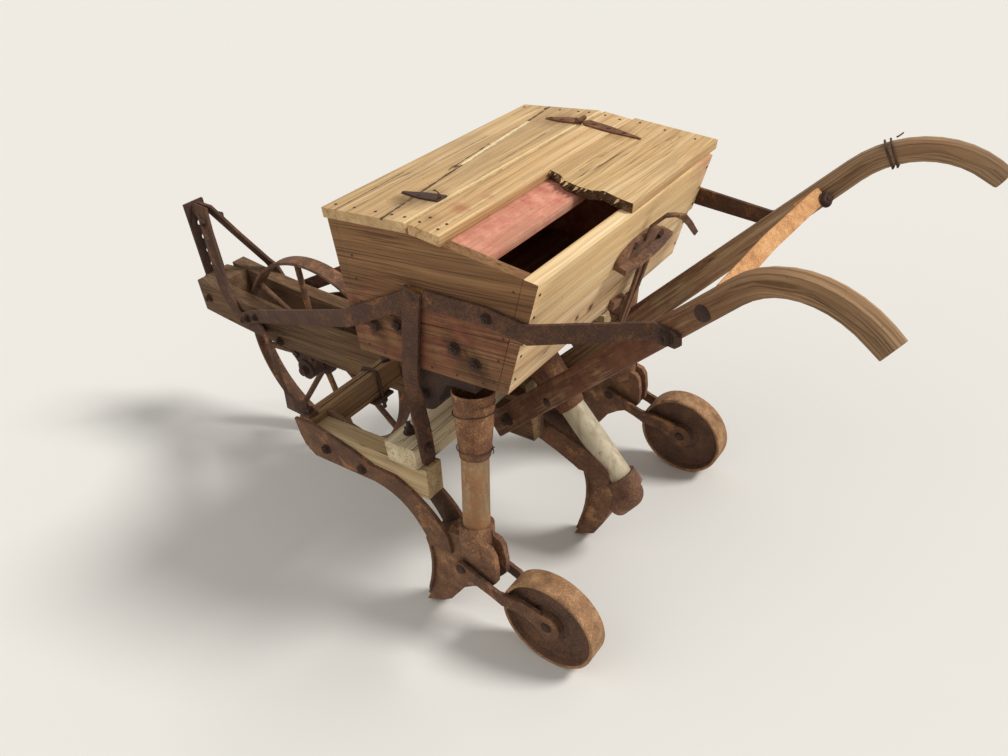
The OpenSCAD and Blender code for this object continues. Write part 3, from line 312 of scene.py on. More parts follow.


# The gap between the boards, the pale flank of a split and the split, a painted highlight along the rear
# edge, fine cracks
TOP_CUTS_AND_HIGHLIGHT = [
    top_cut_or_highlight((-0.122, BOARD_END), (-0.044, -BOARD_END), 0.0035, "2e2116", 0.9),
    top_cut_or_highlight((-0.088, 0.050), (-0.060, -0.200), 0.0058, "f0dcaf", 0.9),
    top_cut_or_highlight((-0.082, 0.085), (-0.066, -0.060), 0.0022, "332216", 0.95),
    # Painted highlight: the top boards' rear edge made pale where it catches the light
    top_cut_or_highlight((-0.172, BOARD_END), (-0.172, -BOARD_END), 0.0045, "ecd09a", 0.75),
    top_cut_or_highlight((-0.012, 0.312), (-0.004, 0.120), 0.0020, "4a3623", 0.8),
    top_cut_or_highlight((-0.040, 0.312), (-0.030, -0.100), 0.0016, "5a432c", 0.7),
    top_cut_or_highlight((-0.150, 0.020), (-0.140, -0.150), 0.0016, "5a432c", 0.7)]
TOP_STAINS = [((-0.128, 0.214, TOP_Z), 0.060, 0.55, "5b4330"),
              ((-0.120, -0.228, TOP_Z), 0.062, 0.45, "5e4430"),
              ((-0.095, 0.229, TOP_Z), 0.030, 0.5, "4f3a29")] + knot((-0.084, 0.064, TOP_Z), 0.008)
REAR_KNOTS = knot((-0.353, 0.061, 0.645), 0.010) + knot((-0.354, 0.107, 0.648), 0.007)
RAIL_STAINS = [((-0.211, 0.211, 0.876), 0.022, 0.55, "94503f"),
               ((-0.222, 0.150, 0.874), 0.014, 0.4, "a5644f"),
               ((-0.196, 0.268, 0.878), 0.020, 0.35, "5d4632")]
LID_STAINS = [((-0.252, -0.228, 0.866), 0.050, 0.45, "5a3d2a")]
# Dark of the gaps between boards, which at a step between boards is also painted shade
GAP_AND_SHADE = "3a2718"


def end_wood(name, seed, left, side):
    """An end wall of the hopper, with the share of its paint that is left above the line."""
    return wood(name, "X", "a27c54", "835f3e", "4a3120", seed, 0.35, "86725a", 0.6, tilt=-0.02,
                paint=("5f372b", "84503d"), paint_left=0.66, paint_below=(0.716, 0.03, left),
                stains=end_stains(side), figure=0.12, late_wood=0.7, fine=1.25)


M = {
    "top": wood("top_boards", "Y", "dcbd8e", "c5a376", "8f704a", 1, 0.36, "ab9b82", 0.5,
                stains=TOP_STAINS, cuts_and_highlights=TOP_CUTS_AND_HIGHLIGHT, figure=0.2, late_wood=0.4, fine=1.25),
    "rail": wood("lid_rail_wood", "Y", "dfc092", "cba676", "8f6d47", 2, 0.25, "b09d82", 0.4,
                 paint=("a8705a", "bf9072"), paint_left=0.0, stains=RAIL_STAINS,
                 # Dark line at the joint of the rail with the top boards, partly painted shade of the
                 # step at the top's rear edge
                 cuts_and_highlights=[((-0.179, BOARD_END, 0.878), (-0.179, -BOARD_END, 0.878), 0.0024, GAP_AND_SHADE, 0.9),
                       ((-0.228, BOARD_END, 0.872), (-0.222, -BOARD_END, 0.872), 0.0016, "6b4f34", 0.8)]),
    "lid": wood("lid_board_wood", "Y", "dfbf90", "caa675", "96754c", 3, 0.26, "ad9c82", 0.5,
                stains=LID_STAINS, figure=0.34, late_wood=0.4, fine=1.25,
                cuts_and_highlights=[((-0.285, 0.010, 0.861), (-0.290, -0.329, 0.860), 0.0018, "54402a", 0.9)]),
    "rear_upper": wood("rear_upper_wood", "Y", "ecd2a6", "dcba88", "b08859", 4, 0.1, "bba88c", 0.35,
                       figure=0.3, late_wood=0.35,
                       stains=[((-0.423, -0.280, 0.822), 0.075, 0.55, "a9705c")],
                       # Dark line at the seam of the two rear boards, partly painted shade of the step at
                       # the seam
                       cuts_and_highlights=[((-0.373, BOARD_END, 0.7005), (-0.373, -BOARD_END, 0.7005), 0.0022, GAP_AND_SHADE,
                              0.9)]),
    "rear_lower": wood("rear_lower_wood", "Y", "e6cca4", "d2b086", "9a7550", 5, 0.2, "b09f85", 0.4,
                       paint=("96614d", "b88a70"), paint_left=0.02, stains=REAR_KNOTS),
    "front": wood("front_wood", "Y", "ad8f67", "8d6f4a", "5a432c", 6, 0.5,
                  paint=("6b3d31", "855143"), paint_left=0.4),
    "end_left": end_wood("end_left_wood", 7, 0.12, 1),
    "end_right": end_wood("end_right_wood", 27, 0.2, -1),
    # Painted highlight: the cover's rear faces in a paler paint
    "cover_rear_highlight": wood("cover_rear_highlight_wood", "Y", "e3bd98", "cf9f7d", "9b6a50", 30, 0.05, cracks=0.2,
                       paint=("cf8670", "eab198"), paint_left=0.8, figure=0.1, late_wood=0.3),
    "cover": wood("cover_wood", "Y", "d3a184", "bd856c", "8a5a46", 8, 0.08, cracks=0.15,
                  paint=("b46a5a", "dc9c83"), paint_left=0.8, figure=0.1, late_wood=0.3),
    "inner": wood("inner_wood", "Y", "dcb697", "c99f80", "94684f", 28, 0.05, cracks=0.3,
                  paint=("b87362", "d69c86"), paint_left=0.8),
    "inside": wood("inside_wood", "Y", "c79f7c", "ab8160", "76533a", 9, 0.1, cracks=0.3),
    "beam": wood("beam_wood", "X", "8b6c4c", "6a4e36", "3d2a1c", 10, 0.45, "7f6d58", 0.8,
                 figure=0.15),
    "cross_old": wood("cross_old_wood", "Y", "b8946a", "8e6a46", "4c3423", 11, 0.5, "9f8a6e", 1.0,
                      figure=0.15, late_wood=0.6),
    "cross_new": wood("cross_new_wood", "Y", "e0d0b2", "c9b794", "947c5a", 12, 0.3, "c6bba5", 0.9,
                      late_wood=0.4),
    "bar_new": wood("bar_new_wood", "X", "cdb790", "b0966e", "7d6244", 13, 0.4, "a6977e", 0.8),
    "handle_near": wood("handle_near_wood", "attribute", "b08d68", "8b6a4a", "4b3520", 14, 0.35,
                        "9b8a70", 0.9, paint=("4c2a1e", "6b4231"), paint_left=0.85,
                        fade=(0.62, 0.92, 0.03), figure=0.1, late_wood=0.6, fine=1.7),
    "handle_far": wood("handle_far_wood", "attribute", "b3936e", "8f6e4f", "4c3625", 15, 0.4,
                       "9a8b75", 1.1, paint=("573427", "734835"), paint_left=0.5,
                       fade=(0.30, 0.65, 0.04), figure=0.1, late_wood=0.6, fine=1.7),
    "strap": rust("strap_rust", "2a1a13", "4a3021", "704b34", 34, 0.4, seed=1,
                  flake=("80542f", 0.2)),
    "iron": rust("flat_iron_rust", "36241a", "60422f", "8b6244", 36, 0.55, seed=2,
                 flake=("9a6a43", 0.25)),
    "cast": rust("cast_rust", "3f2b1f", "704e38", "9c7350", 32, 0.55, 1.4, seed=3,
                 flake=("a97b52", 0.3)),
    "dark": rust("dark_rust", "241813", "3f2a20", "5f4132", 40, 0.3, seed=4),
    "hinge": rust("hinge_rust", "3a2418", "6b4229", "9c673f", 60, 0.5, 1.4, seed=11,
                  flake=("2a1a13", 0.3)),
    "tread": rust("wheel_rust", "5a3f2c", "926c4a", "bc976f", 46, 0.5, 1.2, seed=5,
                  flake=("6b4c35", 0.2)),
    "bloom": rust("orange_rust", "8c5c37", "c28c5a", "dfb481", 60, 0.6, 1.6, seed=6,
                  flake=("9c663c", 0.15)),
    "wire": rust("wire_rust", "2b1d17", "4a342a", "6b5140", 90, 0.3, seed=7),
    "web": rust("wheel_web_rust", "38271d", "5b4030", "7d5840", 34, 0.45, 1.2, seed=9),
    "tube": zinc("tube_zinc", "ab8f69", "8d704f", "755639", 0.7, seed=1),
    "tube_pale": zinc("tube_pale_zinc", "c9bda3", "b3a589", "9a8667", 0.12, seed=2),
    "sleeve": rust("sleeve_rust", "432a1d", "724c33", "a0744d", 36, 0.6, 0.8, seed=8,
                   flake=("b88d62", 0.22)),
    "broken": wood("broken_wood", "Y", "8a6a47", "5a412b", "2a1d14", 16, 0.1, cracks=0.8,
                   late_wood=0.8, fine=1.6),
    "nail": rust("nail_rust", "2a1c16", "4a3226", "6b4836", 120, 0.3, seed=10),
}


def pair(*stems):
    """Names of the left and the right node of each stem."""
    return [stem + ending for stem in stems for ending in ("_left", "_right")]


def three(*stems):
    """Names of the left, the centre and the right node of each stem."""
    return [stem + ending for stem in stems for ending in ("_left", "_centre", "_right")]


# Which material each CAD node takes
LOOKS = {
    "top": ["hopper_top"],
    "rail": ["lid_rail"],
    "inside": ["hopper_floor"],
    "beam": pair("main_beam") + ["cross_block"],
    "cross_old": ["front_cross_beam"],
    "cross_new": ["rear_cross_beam"],
    "bar_new": three("row_bar"),
    "strap": pair("side_strap", "post_strap", "hitch_leg"),
    "iron": three("standard", "shovel") + pair("press_arms") + ["drive_rim", "drive_spokes",
                                                                "shutoff_lever"],
    "cast": three("boot") + ["shutoff_plate"],
    "dark": ["hitch_plate"] + pair("axle_hanger") + ["drive_hub", "feed_cups", "feed_shaft"]
            + pair("press_pins"),
    "hinge": ["lid_hinge_moving"],
    "tube": pair("seed_tube"),
    "tube_pale": ["seed_tube_centre"],
    "sleeve": three("seed_sleeve"),
    "bloom": ["handle_spreader"],
}


def smooth_by_angle(bm, angle):
    """Shade the mesh smooth, except over edges sharper than the angle."""
    for f in bm.faces:
        f.smooth = True
    for e in bm.edges:
        e.smooth = len(e.link_faces) == 2 and e.calc_face_angle(0) < angle


def add_piece(name, bm, materials, body):
    """Put a mesh in the scene, on a body, with its materials."""
    mesh = bpy.data.meshes.new(name)
    bm.to_mesh(mesh)
    bm.free()
    obj = bpy.data.objects.new(name, mesh)
    bpy.context.scene.collection.objects.link(obj)
    for m in materials:
        mesh.materials.append(m)
    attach(obj, body)
    return obj


def dress(node, material, bevel, angle=32, others=(), pick=None):
    """A copy of a CAD node with its edges rounded, in place of the node; pick gives a face's material."""
    bm = bmesh.new()
    bm.from_mesh(NODES[node].data)
    bmesh.ops.remove_doubles(bm, verts=bm.verts, dist=2e-5)
    bmesh.ops.dissolve_limit(bm, angle_limit=math.radians(1.0), verts=bm.verts, edges=bm.edges)
    limit = math.radians(angle)
    sharp = [e for e in bm.edges if len(e.link_faces) == 2 and e.calc_face_angle(0) > limit]
    if sharp:
        bmesh.ops.bevel(bm, geom=sharp, offset=bevel, segments=2, profile=0.6, affect="EDGES",
                        clamp_overlap=True)
    smooth_by_angle(bm, math.radians(40))
    if others:
        for f in bm.faces:
            f.material_index = pick(f)
    obj = add_piece(node + "_dressed", bm, [material, *others], BODY[node])
    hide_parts(node)
    return obj


WOOD_BEVEL, IRON_BEVEL = 0.0022, 0.0009
WOODEN = {"top", "rail", "inside", "beam", "cross_old", "cross_new", "bar_new"}
for look, members in LOOKS.items():
    for n in members:
        dress(n, M[look], WOOD_BEVEL if look in WOODEN else IRON_BEVEL)

# The hopper's walls are painted on the inside
HOPPER_MIDDLE = Vector((-0.16, 0.0, 0.70))
WALLS = {"rear_upper": "hopper_rear_upper", "rear_lower": "hopper_rear_lower", "front": "hopper_front",
         "end_left": "hopper_end_left", "end_right": "hopper_end_right"}


def wall_side(f):
    """0 outside, 1 inside, 2 and 3 for what lies in the plane of the left and the right end board."""
    middle = f.calc_center_median()
    if f.normal.dot((HOPPER_MIDDLE - middle).normalized()) > 0.45:
        return 1
    if abs(middle.y) > HALF_WIDTH - 0.0005 and abs(f.normal.y) > 0.5:
        return 2 if middle.y > 0 else 3
    return 0


for look, n in WALLS.items():
    dress(n, M[look], WOOD_BEVEL, others=(M["inner"], M["end_left"], M["end_right"]), pick=wall_side)

# The cover's rear-facing faces are painted lighter, a painted highlight of the light that falls on them
dress("hopper_cover", M["cover"], 0.003, others=(M["cover_rear_highlight"],), pick=lambda f: int(f.normal.x < -0.6))

# The lid's broken edge is dark
dress("lid_board", M["lid"], 0.0014, others=(M["broken"],),
      pick=lambda f: int(f.normal.y > 0.35 and f.calc_center_median().y > -0.02))

# The left hinge's leaf is darker than the right hinge
dress("lid_hinge_fixed", M["hinge"], 0.0007, others=(M["dark"],),
      pick=lambda f: int(f.calc_center_median().y > 0))

# The press wheels' treads are lighter than their webs
RIM_INSIDE = 0.0972
WHEEL_X = {"press_wheel_left": -0.392, "press_wheel_right": -0.342}
WHEEL_Z = 0.103
for n, wheel_x in WHEEL_X.items():
    dress(n, M["tread"], IRON_BEVEL, others=(M["web"],),
          pick=lambda f, x=wheel_x: int(max(math.hypot(v.co.x - x, v.co.z - WHEEL_Z)
                                            for v in f.verts) < RIM_INSIDE))

# Handles: the grain follows each handle round its bend
HANDLE_FRONT = Vector((-0.118, 0.088, 0.327))
HANDLE_RISE = math.radians(40)
HANDLE_SPLAY = math.radians(14.3)
HANDLE_STRAIGHT = 0.795
HANDLE_BEND_R = 0.165


def along_handle(p, side):
    """Distance along the handle, height in its own plane and offset from that plane."""
    flat = Vector((HANDLE_FRONT.x - p.x, side * p.y - HANDLE_FRONT.y))
    out = flat.x * math.cos(HANDLE_SPLAY) + flat.y * math.sin(HANDLE_SPLAY)
    aside = flat.y * math.cos(HANDLE_SPLAY) - flat.x * math.sin(HANDLE_SPLAY)
    up = p.z - HANDLE_FRONT.z
    run = out * math.cos(HANDLE_RISE) + up * math.sin(HANDLE_RISE)
    lift = up * math.cos(HANDLE_RISE) - out * math.sin(HANDLE_RISE)
    if run > HANDLE_STRAIGHT:
        turn = math.atan2(run - HANDLE_STRAIGHT, lift + HANDLE_BEND_R)
        radius = math.hypot(run - HANDLE_STRAIGHT, lift + HANDLE_BEND_R)
        run = HANDLE_STRAIGHT + HANDLE_BEND_R * turn
        lift = radius - HANDLE_BEND_R
    return run, lift, aside


def on_handle(run, lift, aside, side):
    """The point of a handle that has these three distances."""
    turn = max(0.0, run - HANDLE_STRAIGHT) / HANDLE_BEND_R
    if turn:
        radius = HANDLE_BEND_R + lift
        run = HANDLE_STRAIGHT + radius * math.sin(turn)
        lift = radius * math.cos(turn) - HANDLE_BEND_R
    out = run * math.cos(HANDLE_RISE) - lift * math.sin(HANDLE_RISE)
    up = run * math.sin(HANDLE_RISE) + lift * math.cos(HANDLE_RISE)
    return Vector((HANDLE_FRONT.x - out * math.cos(HANDLE_SPLAY) + aside * math.sin(HANDLE_SPLAY),
                   side * (HANDLE_FRONT.y + out * math.sin(HANDLE_SPLAY)
                           + aside * math.cos(HANDLE_SPLAY)),
                   HANDLE_FRONT.z + up))


def handle(node, side, material):
    """Dress a handle and give its vertices the place that its grain is read at."""
    mesh = dress(node, material, 0.002, angle=25).data
    grain = mesh.attributes.new("grain", "FLOAT_VECTOR", "POINT")
    for v, item in zip(mesh.vertices, grain.data):
        item.vector = along_handle(v.co, side)


handle("handle_left", 1, M["handle_near"])
handle("handle_right", -1, M["handle_far"])

# Small ironware


def circle(count):
    """Evenly spaced angles of a full turn."""
    return [2 * math.pi * k / count for k in range(count)]


def turned(axis, spin=0.0):
    """Rotation that takes +Z to the axis, after a spin about it."""
    return (Vector((0, 0, 1)).rotation_difference(Vector(axis)).to_matrix().to_4x4()
            @ Matrix.Rotation(spin, 4, "Z"))


class Kit:
    """Small parts of one material on one body, gathered in one mesh."""

    def __init__(self, name, material, body, slot="dark_iron"):
        self.bm = bmesh.new()
        self.about = (name, material, body, slot)

    def prism(self, at, axis, r, h, sides, top=None, spin=0.0):
        """A prism or a frustum of height h that stands at a point along an axis."""
        axis = Vector(axis).normalized()
        place = Matrix.Translation(Vector(at) + axis * h / 2) @ turned(axis, spin)
        bmesh.ops.create_cone(self.bm, cap_ends=True, segments=sides, radius1=r,
                              radius2=r if top is None else top, depth=h, matrix=place)

    def dome(self, at, axis, r, h):
        """A flattened ball, of which the half over the surface shows."""
        axis = Vector(axis).normalized()
        place = Matrix.Translation(Vector(at)) @ turned(axis) @ Matrix.Diagonal((r, r, h, 1))
        bmesh.ops.create_uvsphere(self.bm, u_segments=16, v_segments=8, radius=1.0, matrix=place)

    def wire(self, points, r, sides=6, closed=False):
        """A round bar through points; each ring is turned to twist least against the one before."""
        points = [Vector(p) for p in points]
        count = len(points)
        rows = []
        for i, p in enumerate(points):
            before = points[i - 1] if i or closed else p
            after = points[(i + 1) % count] if i + 1 < count or closed else p
            spin = turned((after - before).normalized())
            rows.append([self.bm.verts.new(p + spin @ Vector((r * math.cos(a), r * math.sin(a), 0)))
                         for a in circle(sides)])
        last = count if closed else count - 1
        for i in range(last):
            row, following = rows[i], rows[(i + 1) % count]
            gaps = [sum((row[k].co - following[(k + o) % sides].co).length for k in range(sides))
                    for o in range(sides)]
            o = gaps.index(min(gaps))
            for k in range(sides):
                self.bm.faces.new((row[k], row[(k + 1) % sides], following[(k + 1 + o) % sides],
                                   following[(k + o) % sides]))
        if not closed:
            self.bm.faces.new(rows[0][::-1])
            self.bm.faces.new(rows[-1])

    def strip(self, rows, inside=True):
        """A bent strip from rows of points, of which each second one is the outer face's."""
        rows = [[self.bm.verts.new(p) for p in row] for row in rows]
        last = len(rows[0]) - 1
        for k in range(0, len(rows) - 2, 2):
            inner, outer, inner_2, outer_2 = rows[k:k + 4]
            for j in range(last):
                self.bm.faces.new((outer[j], outer[j + 1], outer_2[j + 1], outer_2[j]))
                if inside:
                    self.bm.faces.new((inner[j], inner_2[j], inner_2[j + 1], inner[j + 1]))
            self.bm.faces.new((inner[0], outer[0], outer_2[0], inner_2[0]))
            self.bm.faces.new((inner[-1], inner_2[-1], outer_2[-1], outer[-1]))
        for inner, outer in (rows[:2], rows[-2:]):
            for j in range(last):
                self.bm.faces.new((inner[j], inner[j + 1], outer[j + 1], outer[j]))

    def close(self):
        """Make the gathered parts a piece of the scene."""
        bmesh.ops.recalc_face_normals(self.bm, faces=self.bm.faces)
        smooth_by_angle(self.bm, math.radians(38))
        name, material, body, slot = self.about
        add_piece(name, self.bm, [material], body)


TREES = {}


def surface(node, start, way):
    """Point and outward normal where a ray from start meets a node."""
    if node not in TREES:
        bm = bmesh.new()
        bm.from_mesh(NODES[node].data)
        TREES[node] = BVHTree.FromBMesh(bm)
        bm.free()
    way = Vector(way).normalized()
    at, normal, _, _ = TREES[node].ray_cast(Vector(start), way)
    if at is None:
        raise ValueError(f"nothing of {node} in front of {start}")
    return at, normal if normal.dot(way) < 0 else -normal


chance = random.Random(41)


def bolt(kit, node, start, way, kind, size, stub=0.008):
    """A nut on its bolt, a carriage head or a square head, seated where the ray meets the node."""
    at, n = surface(node, start, way)
    spin = chance.uniform(0, 1.5)
    sunk = at - n * 0.001
    if kind == "nut":
        kit.prism(sunk, n, 0.0135 * size, 0.0028, 20)
        kit.prism(sunk + n * 0.0025, n, 0.0125 * size, 0.009 * size, 4, 0.0118 * size, spin)
        kit.prism(sunk, n, 0.0048 * size, 0.0125 * size + stub, 10)
    elif kind == "square":
        kit.prism(sunk, n, 0.0125 * size, 0.0085 * size, 4, 0.0115 * size, spin)
    elif kind == "head":
        kit.dome(sunk, n, 0.0115 * size, 0.0062 * size)
    elif kind == "nail":
        kit.prism(sunk + n * 0.0004, n, 0.0022 * size, 0.0016, 10)


SIDES = {1: "_left", -1: "_right"}
DOWN, FORE, AFT = (0, 0, -1), (1, 0, 0), (-1, 0, 0)

# Where the rays start: beside, over, behind and before the machine, and over the beams
BESIDE, OVER, BEHIND, BEFORE, OVER_BEAMS = 0.5, 1.0, -0.7, 1.2, 0.6
BEFORE_HOPPER = 0.4
WALL_NAIL_Y = 0.289
CROSS_X = 0.188


def beside(kit, stem, s, places, kind, size, stub=0.008):
    """Bolts at the places (x, z) on the outer face of one side's node."""
    for x, z in places:
        bolt(kit, stem + SIDES[s], (x, s * BESIDE, z), (0, -s, 0), kind, size, stub)


irons = Kit("bolts_and_nuts", M["dark"], "frame")
nails = Kit("nails", M["nail"], "frame")
for s, ending in SIDES.items():
    beside(irons, "hopper_end", s, NUT_SPOTS, "nut", 0.85, 0.002)
    beside(irons, "side_strap", s, [(-0.318, 0.741)], "nut", 0.75, 0.003)
    beside(irons, "side_strap", s, [(0.694, 0.399), (0.634, 0.423)], "nut", 0.9, 0.003)
    beside(irons, "side_strap", s, [(-0.598, 0.737)], "nut", 1.0, 0.003)
    beside(irons, "post_strap", s, [(-0.160, 0.750)], "head", 0.9)
    bolt(irons, "post_strap" + ending, (-0.3, s * 0.325, 0.430), FORE, "nut", 0.8, 0.004)
    beside(irons, "handle", s, [(-0.170, 0.372)], "nut", 1.1, 0.004)
    beside(irons, "handle", s, [(-0.300, 0.475)], "head", 0.9)
    beside(irons, "handle", s, [(-0.659, 0.795)], "head", 1.25)
    bolt(irons, "handle_spreader", (-0.676, 0, 0.797), (0, s, 0), "nut", 1.0, 0.001)
    bolt(irons, "rear_cross_beam", (-0.084, s * 0.312, OVER_BEAMS), DOWN, "nut", 1.0, 0.012)
    bolt(irons, "rear_cross_beam", (-0.100, s * 0.060, OVER_BEAMS), DOWN, "square", 1.0)
    bolt(irons, "hitch_leg" + ending, (CROSS_X, s * 0.338, OVER_BEAMS), DOWN, "nut", 0.95, 0.010)
    bolt(irons, "front_cross_beam", (CROSS_X, s * 0.100, OVER_BEAMS), DOWN, "square", 1.0)
    beside(irons, "standard", s, [(0.130, 0.352), (0.030, 0.336)], "nut", 0.85, 0.002)
    for x, z in ((0.120, 0.350), (0.020, 0.334)):
        bolt(irons, "standard_centre", (x, s * 0.2, z), (0, -s, 0), "square", 0.9)
    beside(irons, "hitch_leg", s, [(0.868, 0.612), (0.722, 0.385)], "nut", 0.8, 0.003)
    beside(irons, "main_beam", s, [(0.868, 0.415), (0.600, 0.345), (-0.020, 0.345)], "nut", 0.9, 0.004)
    beside(irons, "axle_hanger", s, [(0.500, 0.316), (0.556, 0.316)], "square", 0.9)
    for k in range(5):
        up = 0.612 + 0.046 * k
        beside(nails, "hopper_end", s, [(-0.012 - 0.002 * k, up), (-0.300 - 0.36 * (up - 0.592), up),
                                        (-0.050 - 0.058 * k, 0.602)], "nail", 1.0)
    for x in (-0.156, -0.128, -0.086, -0.040, 0.006):
        bolt(nails, "hopper_top", (x + chance.uniform(-0.005, 0.005), s * 0.288, OVER), DOWN, "nail", 1.2)
    for z in (0.715, 0.752, 0.795):
        bolt(nails, "hopper_rear_upper", (BEHIND, s * WALL_NAIL_Y, z), FORE, "nail", 1.2)
    for z in (0.622, 0.672):
        bolt(nails, "hopper_rear_lower", (BEHIND, s * WALL_NAIL_Y, z), FORE, "nail", 1.2)
    for z in (0.63, 0.70, 0.77, 0.83):
        bolt(nails, "hopper_front", (BEFORE_HOPPER, s * WALL_NAIL_Y, z), AFT, "nail", 1.2)
for x, y in ((-0.100, -0.228), (-0.130, -0.222), (-0.158, -0.234), (-0.120, 0.208)):
    bolt(irons, "lid_hinge_fixed", (x, y, OVER), DOWN, "head", 0.45)
for y, z in ((-0.020, 0.742), (-0.124, 0.722)):
    bolt(irons, "shutoff_plate", (BEHIND, y, z), FORE, "square", 0.75)
for z in (0.420, 0.450):
    for y in (-0.018, 0.018):
        bolt(irons, "hitch_plate", (BEFORE, y, z), AFT, "square", 0.7)

# Curled end of the left hinge's leaf, where its knuckle broke off
CURL_AT = (-0.160, 0.202, 0.8914)
CURL_STEPS, CURL_THICK = 9, 0.0016
rows = []
for k in range(CURL_STEPS + 1):
    turn = math.radians(-90 + 22 * k)
    reach = 0.0052 + 0.00035 * k
    for r in (reach, reach + CURL_THICK):
        rows.append([(CURL_AT[0] - r * math.cos(turn), CURL_AT[1] + 0.0055 * j + 0.0008 * k * (1.5 - j),
                      CURL_AT[2] + r * math.sin(turn)) for j in range(4)])
curl = Kit("hinge_curl", M["dark"], "frame")
curl.strip(rows)
curl.close()

# U-bolt round the front cross beam on each side of the main beams
U_BOLT = [(0.2115, 0.318), (0.2115, 0.406), (0.2075, 0.4125), (CROSS_X, 0.4145), (0.1685, 0.4125),
          (0.1645, 0.406), (0.1645, 0.318)]
for y in (0.152, -0.152):
    irons.wire([(x, y, z) for x, z in U_BOLT], 0.0045, 8)
    for x in (U_BOLT[0][0], U_BOLT[-1][0]):
        irons.prism((x, y, 0.3405), DOWN, 0.0105, 0.008, 4, spin=0.4)
    irons.prism((CROSS_X, y, 0.3475), DOWN, 0.042, 0.006, 4, spin=math.pi / 4)
irons.close()
nails.close()

lid_irons = Kit("lid_screws", M["dark"], "lid")
for x in (-0.205, -0.235, -0.270):
    bolt(lid_irons, "lid_hinge_moving", (x, -0.228, OVER), DOWN, "head", 0.45)
lid_irons.close()
lid_nails = Kit("lid_nails", M["nail"], "lid")
for y in (0.290, 0.268, -0.288):
    for x in (-0.192, -0.228):
        bolt(lid_nails, "lid_rail", (x + chance.uniform(-0.004, 0.004), y, OVER), DOWN, "nail", 1.1)
for x in (-0.265, -0.320, -0.385):
    bolt(lid_nails, "lid_board", (x, -0.300, OVER), DOWN, "nail", 1.1)
lid_nails.close()

# Seed tubes: the lapped seam of each sleeve and the wires tied round it

# Foot and top of each tube, where its sleeve starts, and the sleeve's radii there and at the top
TUBES = {"left": ((-0.228, 0.328, 0.238), (-0.226, 0.268, 0.552)),
         "right": ((-0.178, -0.328, 0.238), (-0.226, -0.268, 0.552)),
         "centre": ((-0.372, 0.0, 0.188), (-0.160, 0.0, 0.478))}
SLEEVE_START = 0.58
SLEEVE_R = (0.0295, 0.0410)


def round_tube(name, part, angle, lift):
    """Point on a sleeve at a part of the tube's length, an angle round it and a lift off it."""
    foot, top = (Vector(p) for p in TUBES[name])
    axis = (top - foot).normalized()
    back = Vector((-1, 0, 0))
    back = (back - axis * back.dot(axis)).normalized()
    wide = axis.cross(back)
    r = SLEEVE_R[0] + (SLEEVE_R[1] - SLEEVE_R[0]) * (part - SLEEVE_START) / (1 - SLEEVE_START) + lift
    return foot + (top - foot) * part + (back * math.cos(angle) + wide * math.sin(angle)) * r


LAP_FROM, LAP_LENGTH, LAP_STEPS = 0.592, 0.345, 8
laps = Kit("sleeve_laps", M["sleeve"], "frame", "old_zinc")
for name in TUBES:
    laps.strip([[round_tube(name, LAP_FROM + LAP_LENGTH * k / LAP_STEPS, math.radians(a), lift)
                 for a in range(-52, 45, 12)]
                for k in range(LAP_STEPS + 1) for lift in (-0.0004, 0.0014)], inside=False)
laps.close()

TIE_R = 0.0011
ties = Kit("tie_wires", M["wire"], "frame")
for name, parts in (("left", (0.635, 0.870)), ("right", (0.650, 0.860)), ("centre", (0.640,))):
    for n, part in enumerate(parts):
        slant = 0.012 if n else -0.004
        ring = [round_tube(name, part + slant * math.cos(a), a, 0.0026) for a in circle(40)]
        ties.wire(ring, TIE_R, closed=True)
        if name == "left":
            for bend, step in ((0.8, -0.004), (1.9, 0.003)):
                ties.wire([round_tube(name, part + step * k, math.radians(20 + 8 * math.sin(k * bend)),
                                      0.003 + 0.0007 * k) for k in range(6)], TIE_R)

# Wire wound round the far handle, and one loose end
WRAP_AT, WRAP_TURNS, WRAP_STEPS, WRAP_PITCH = 0.850, 2, 24, 0.0085
# Half the handle's thickness and half its height, with the wire's radius
HALF_T, HALF_H = 0.0193, 0.0217
wrap = []
for k in range(WRAP_TURNS * WRAP_STEPS + 1):
    a = 2 * math.pi * k / WRAP_STEPS
    square = max(abs(math.cos(a)), abs(math.sin(a))) ** 0.72
    wrap.append(on_handle(WRAP_AT + WRAP_PITCH * k / WRAP_STEPS, HALF_H * math.sin(a) / square,
                          HALF_T * math.cos(a) / square, -1))
ties.wire(wrap, 0.0019)
ties.wire([on_handle(WRAP_AT + 0.018 + 0.003 * k, HALF_H + 0.001 + 0.0007 * k, 0.008 + 0.001 * k * k, -1)
           for k in range(4)], 0.0014)

# Thin wire that hangs at the hitch
ties.wire([(0.900, 0.012, 0.640), (0.860, 0.040, 0.600), (0.800, 0.078, 0.545), (0.745, 0.094, 0.500),
           (0.704, 0.096, 0.455), (0.668, 0.090, 0.420), (0.662, 0.084, 0.395)], 0.0013)
ties.close()

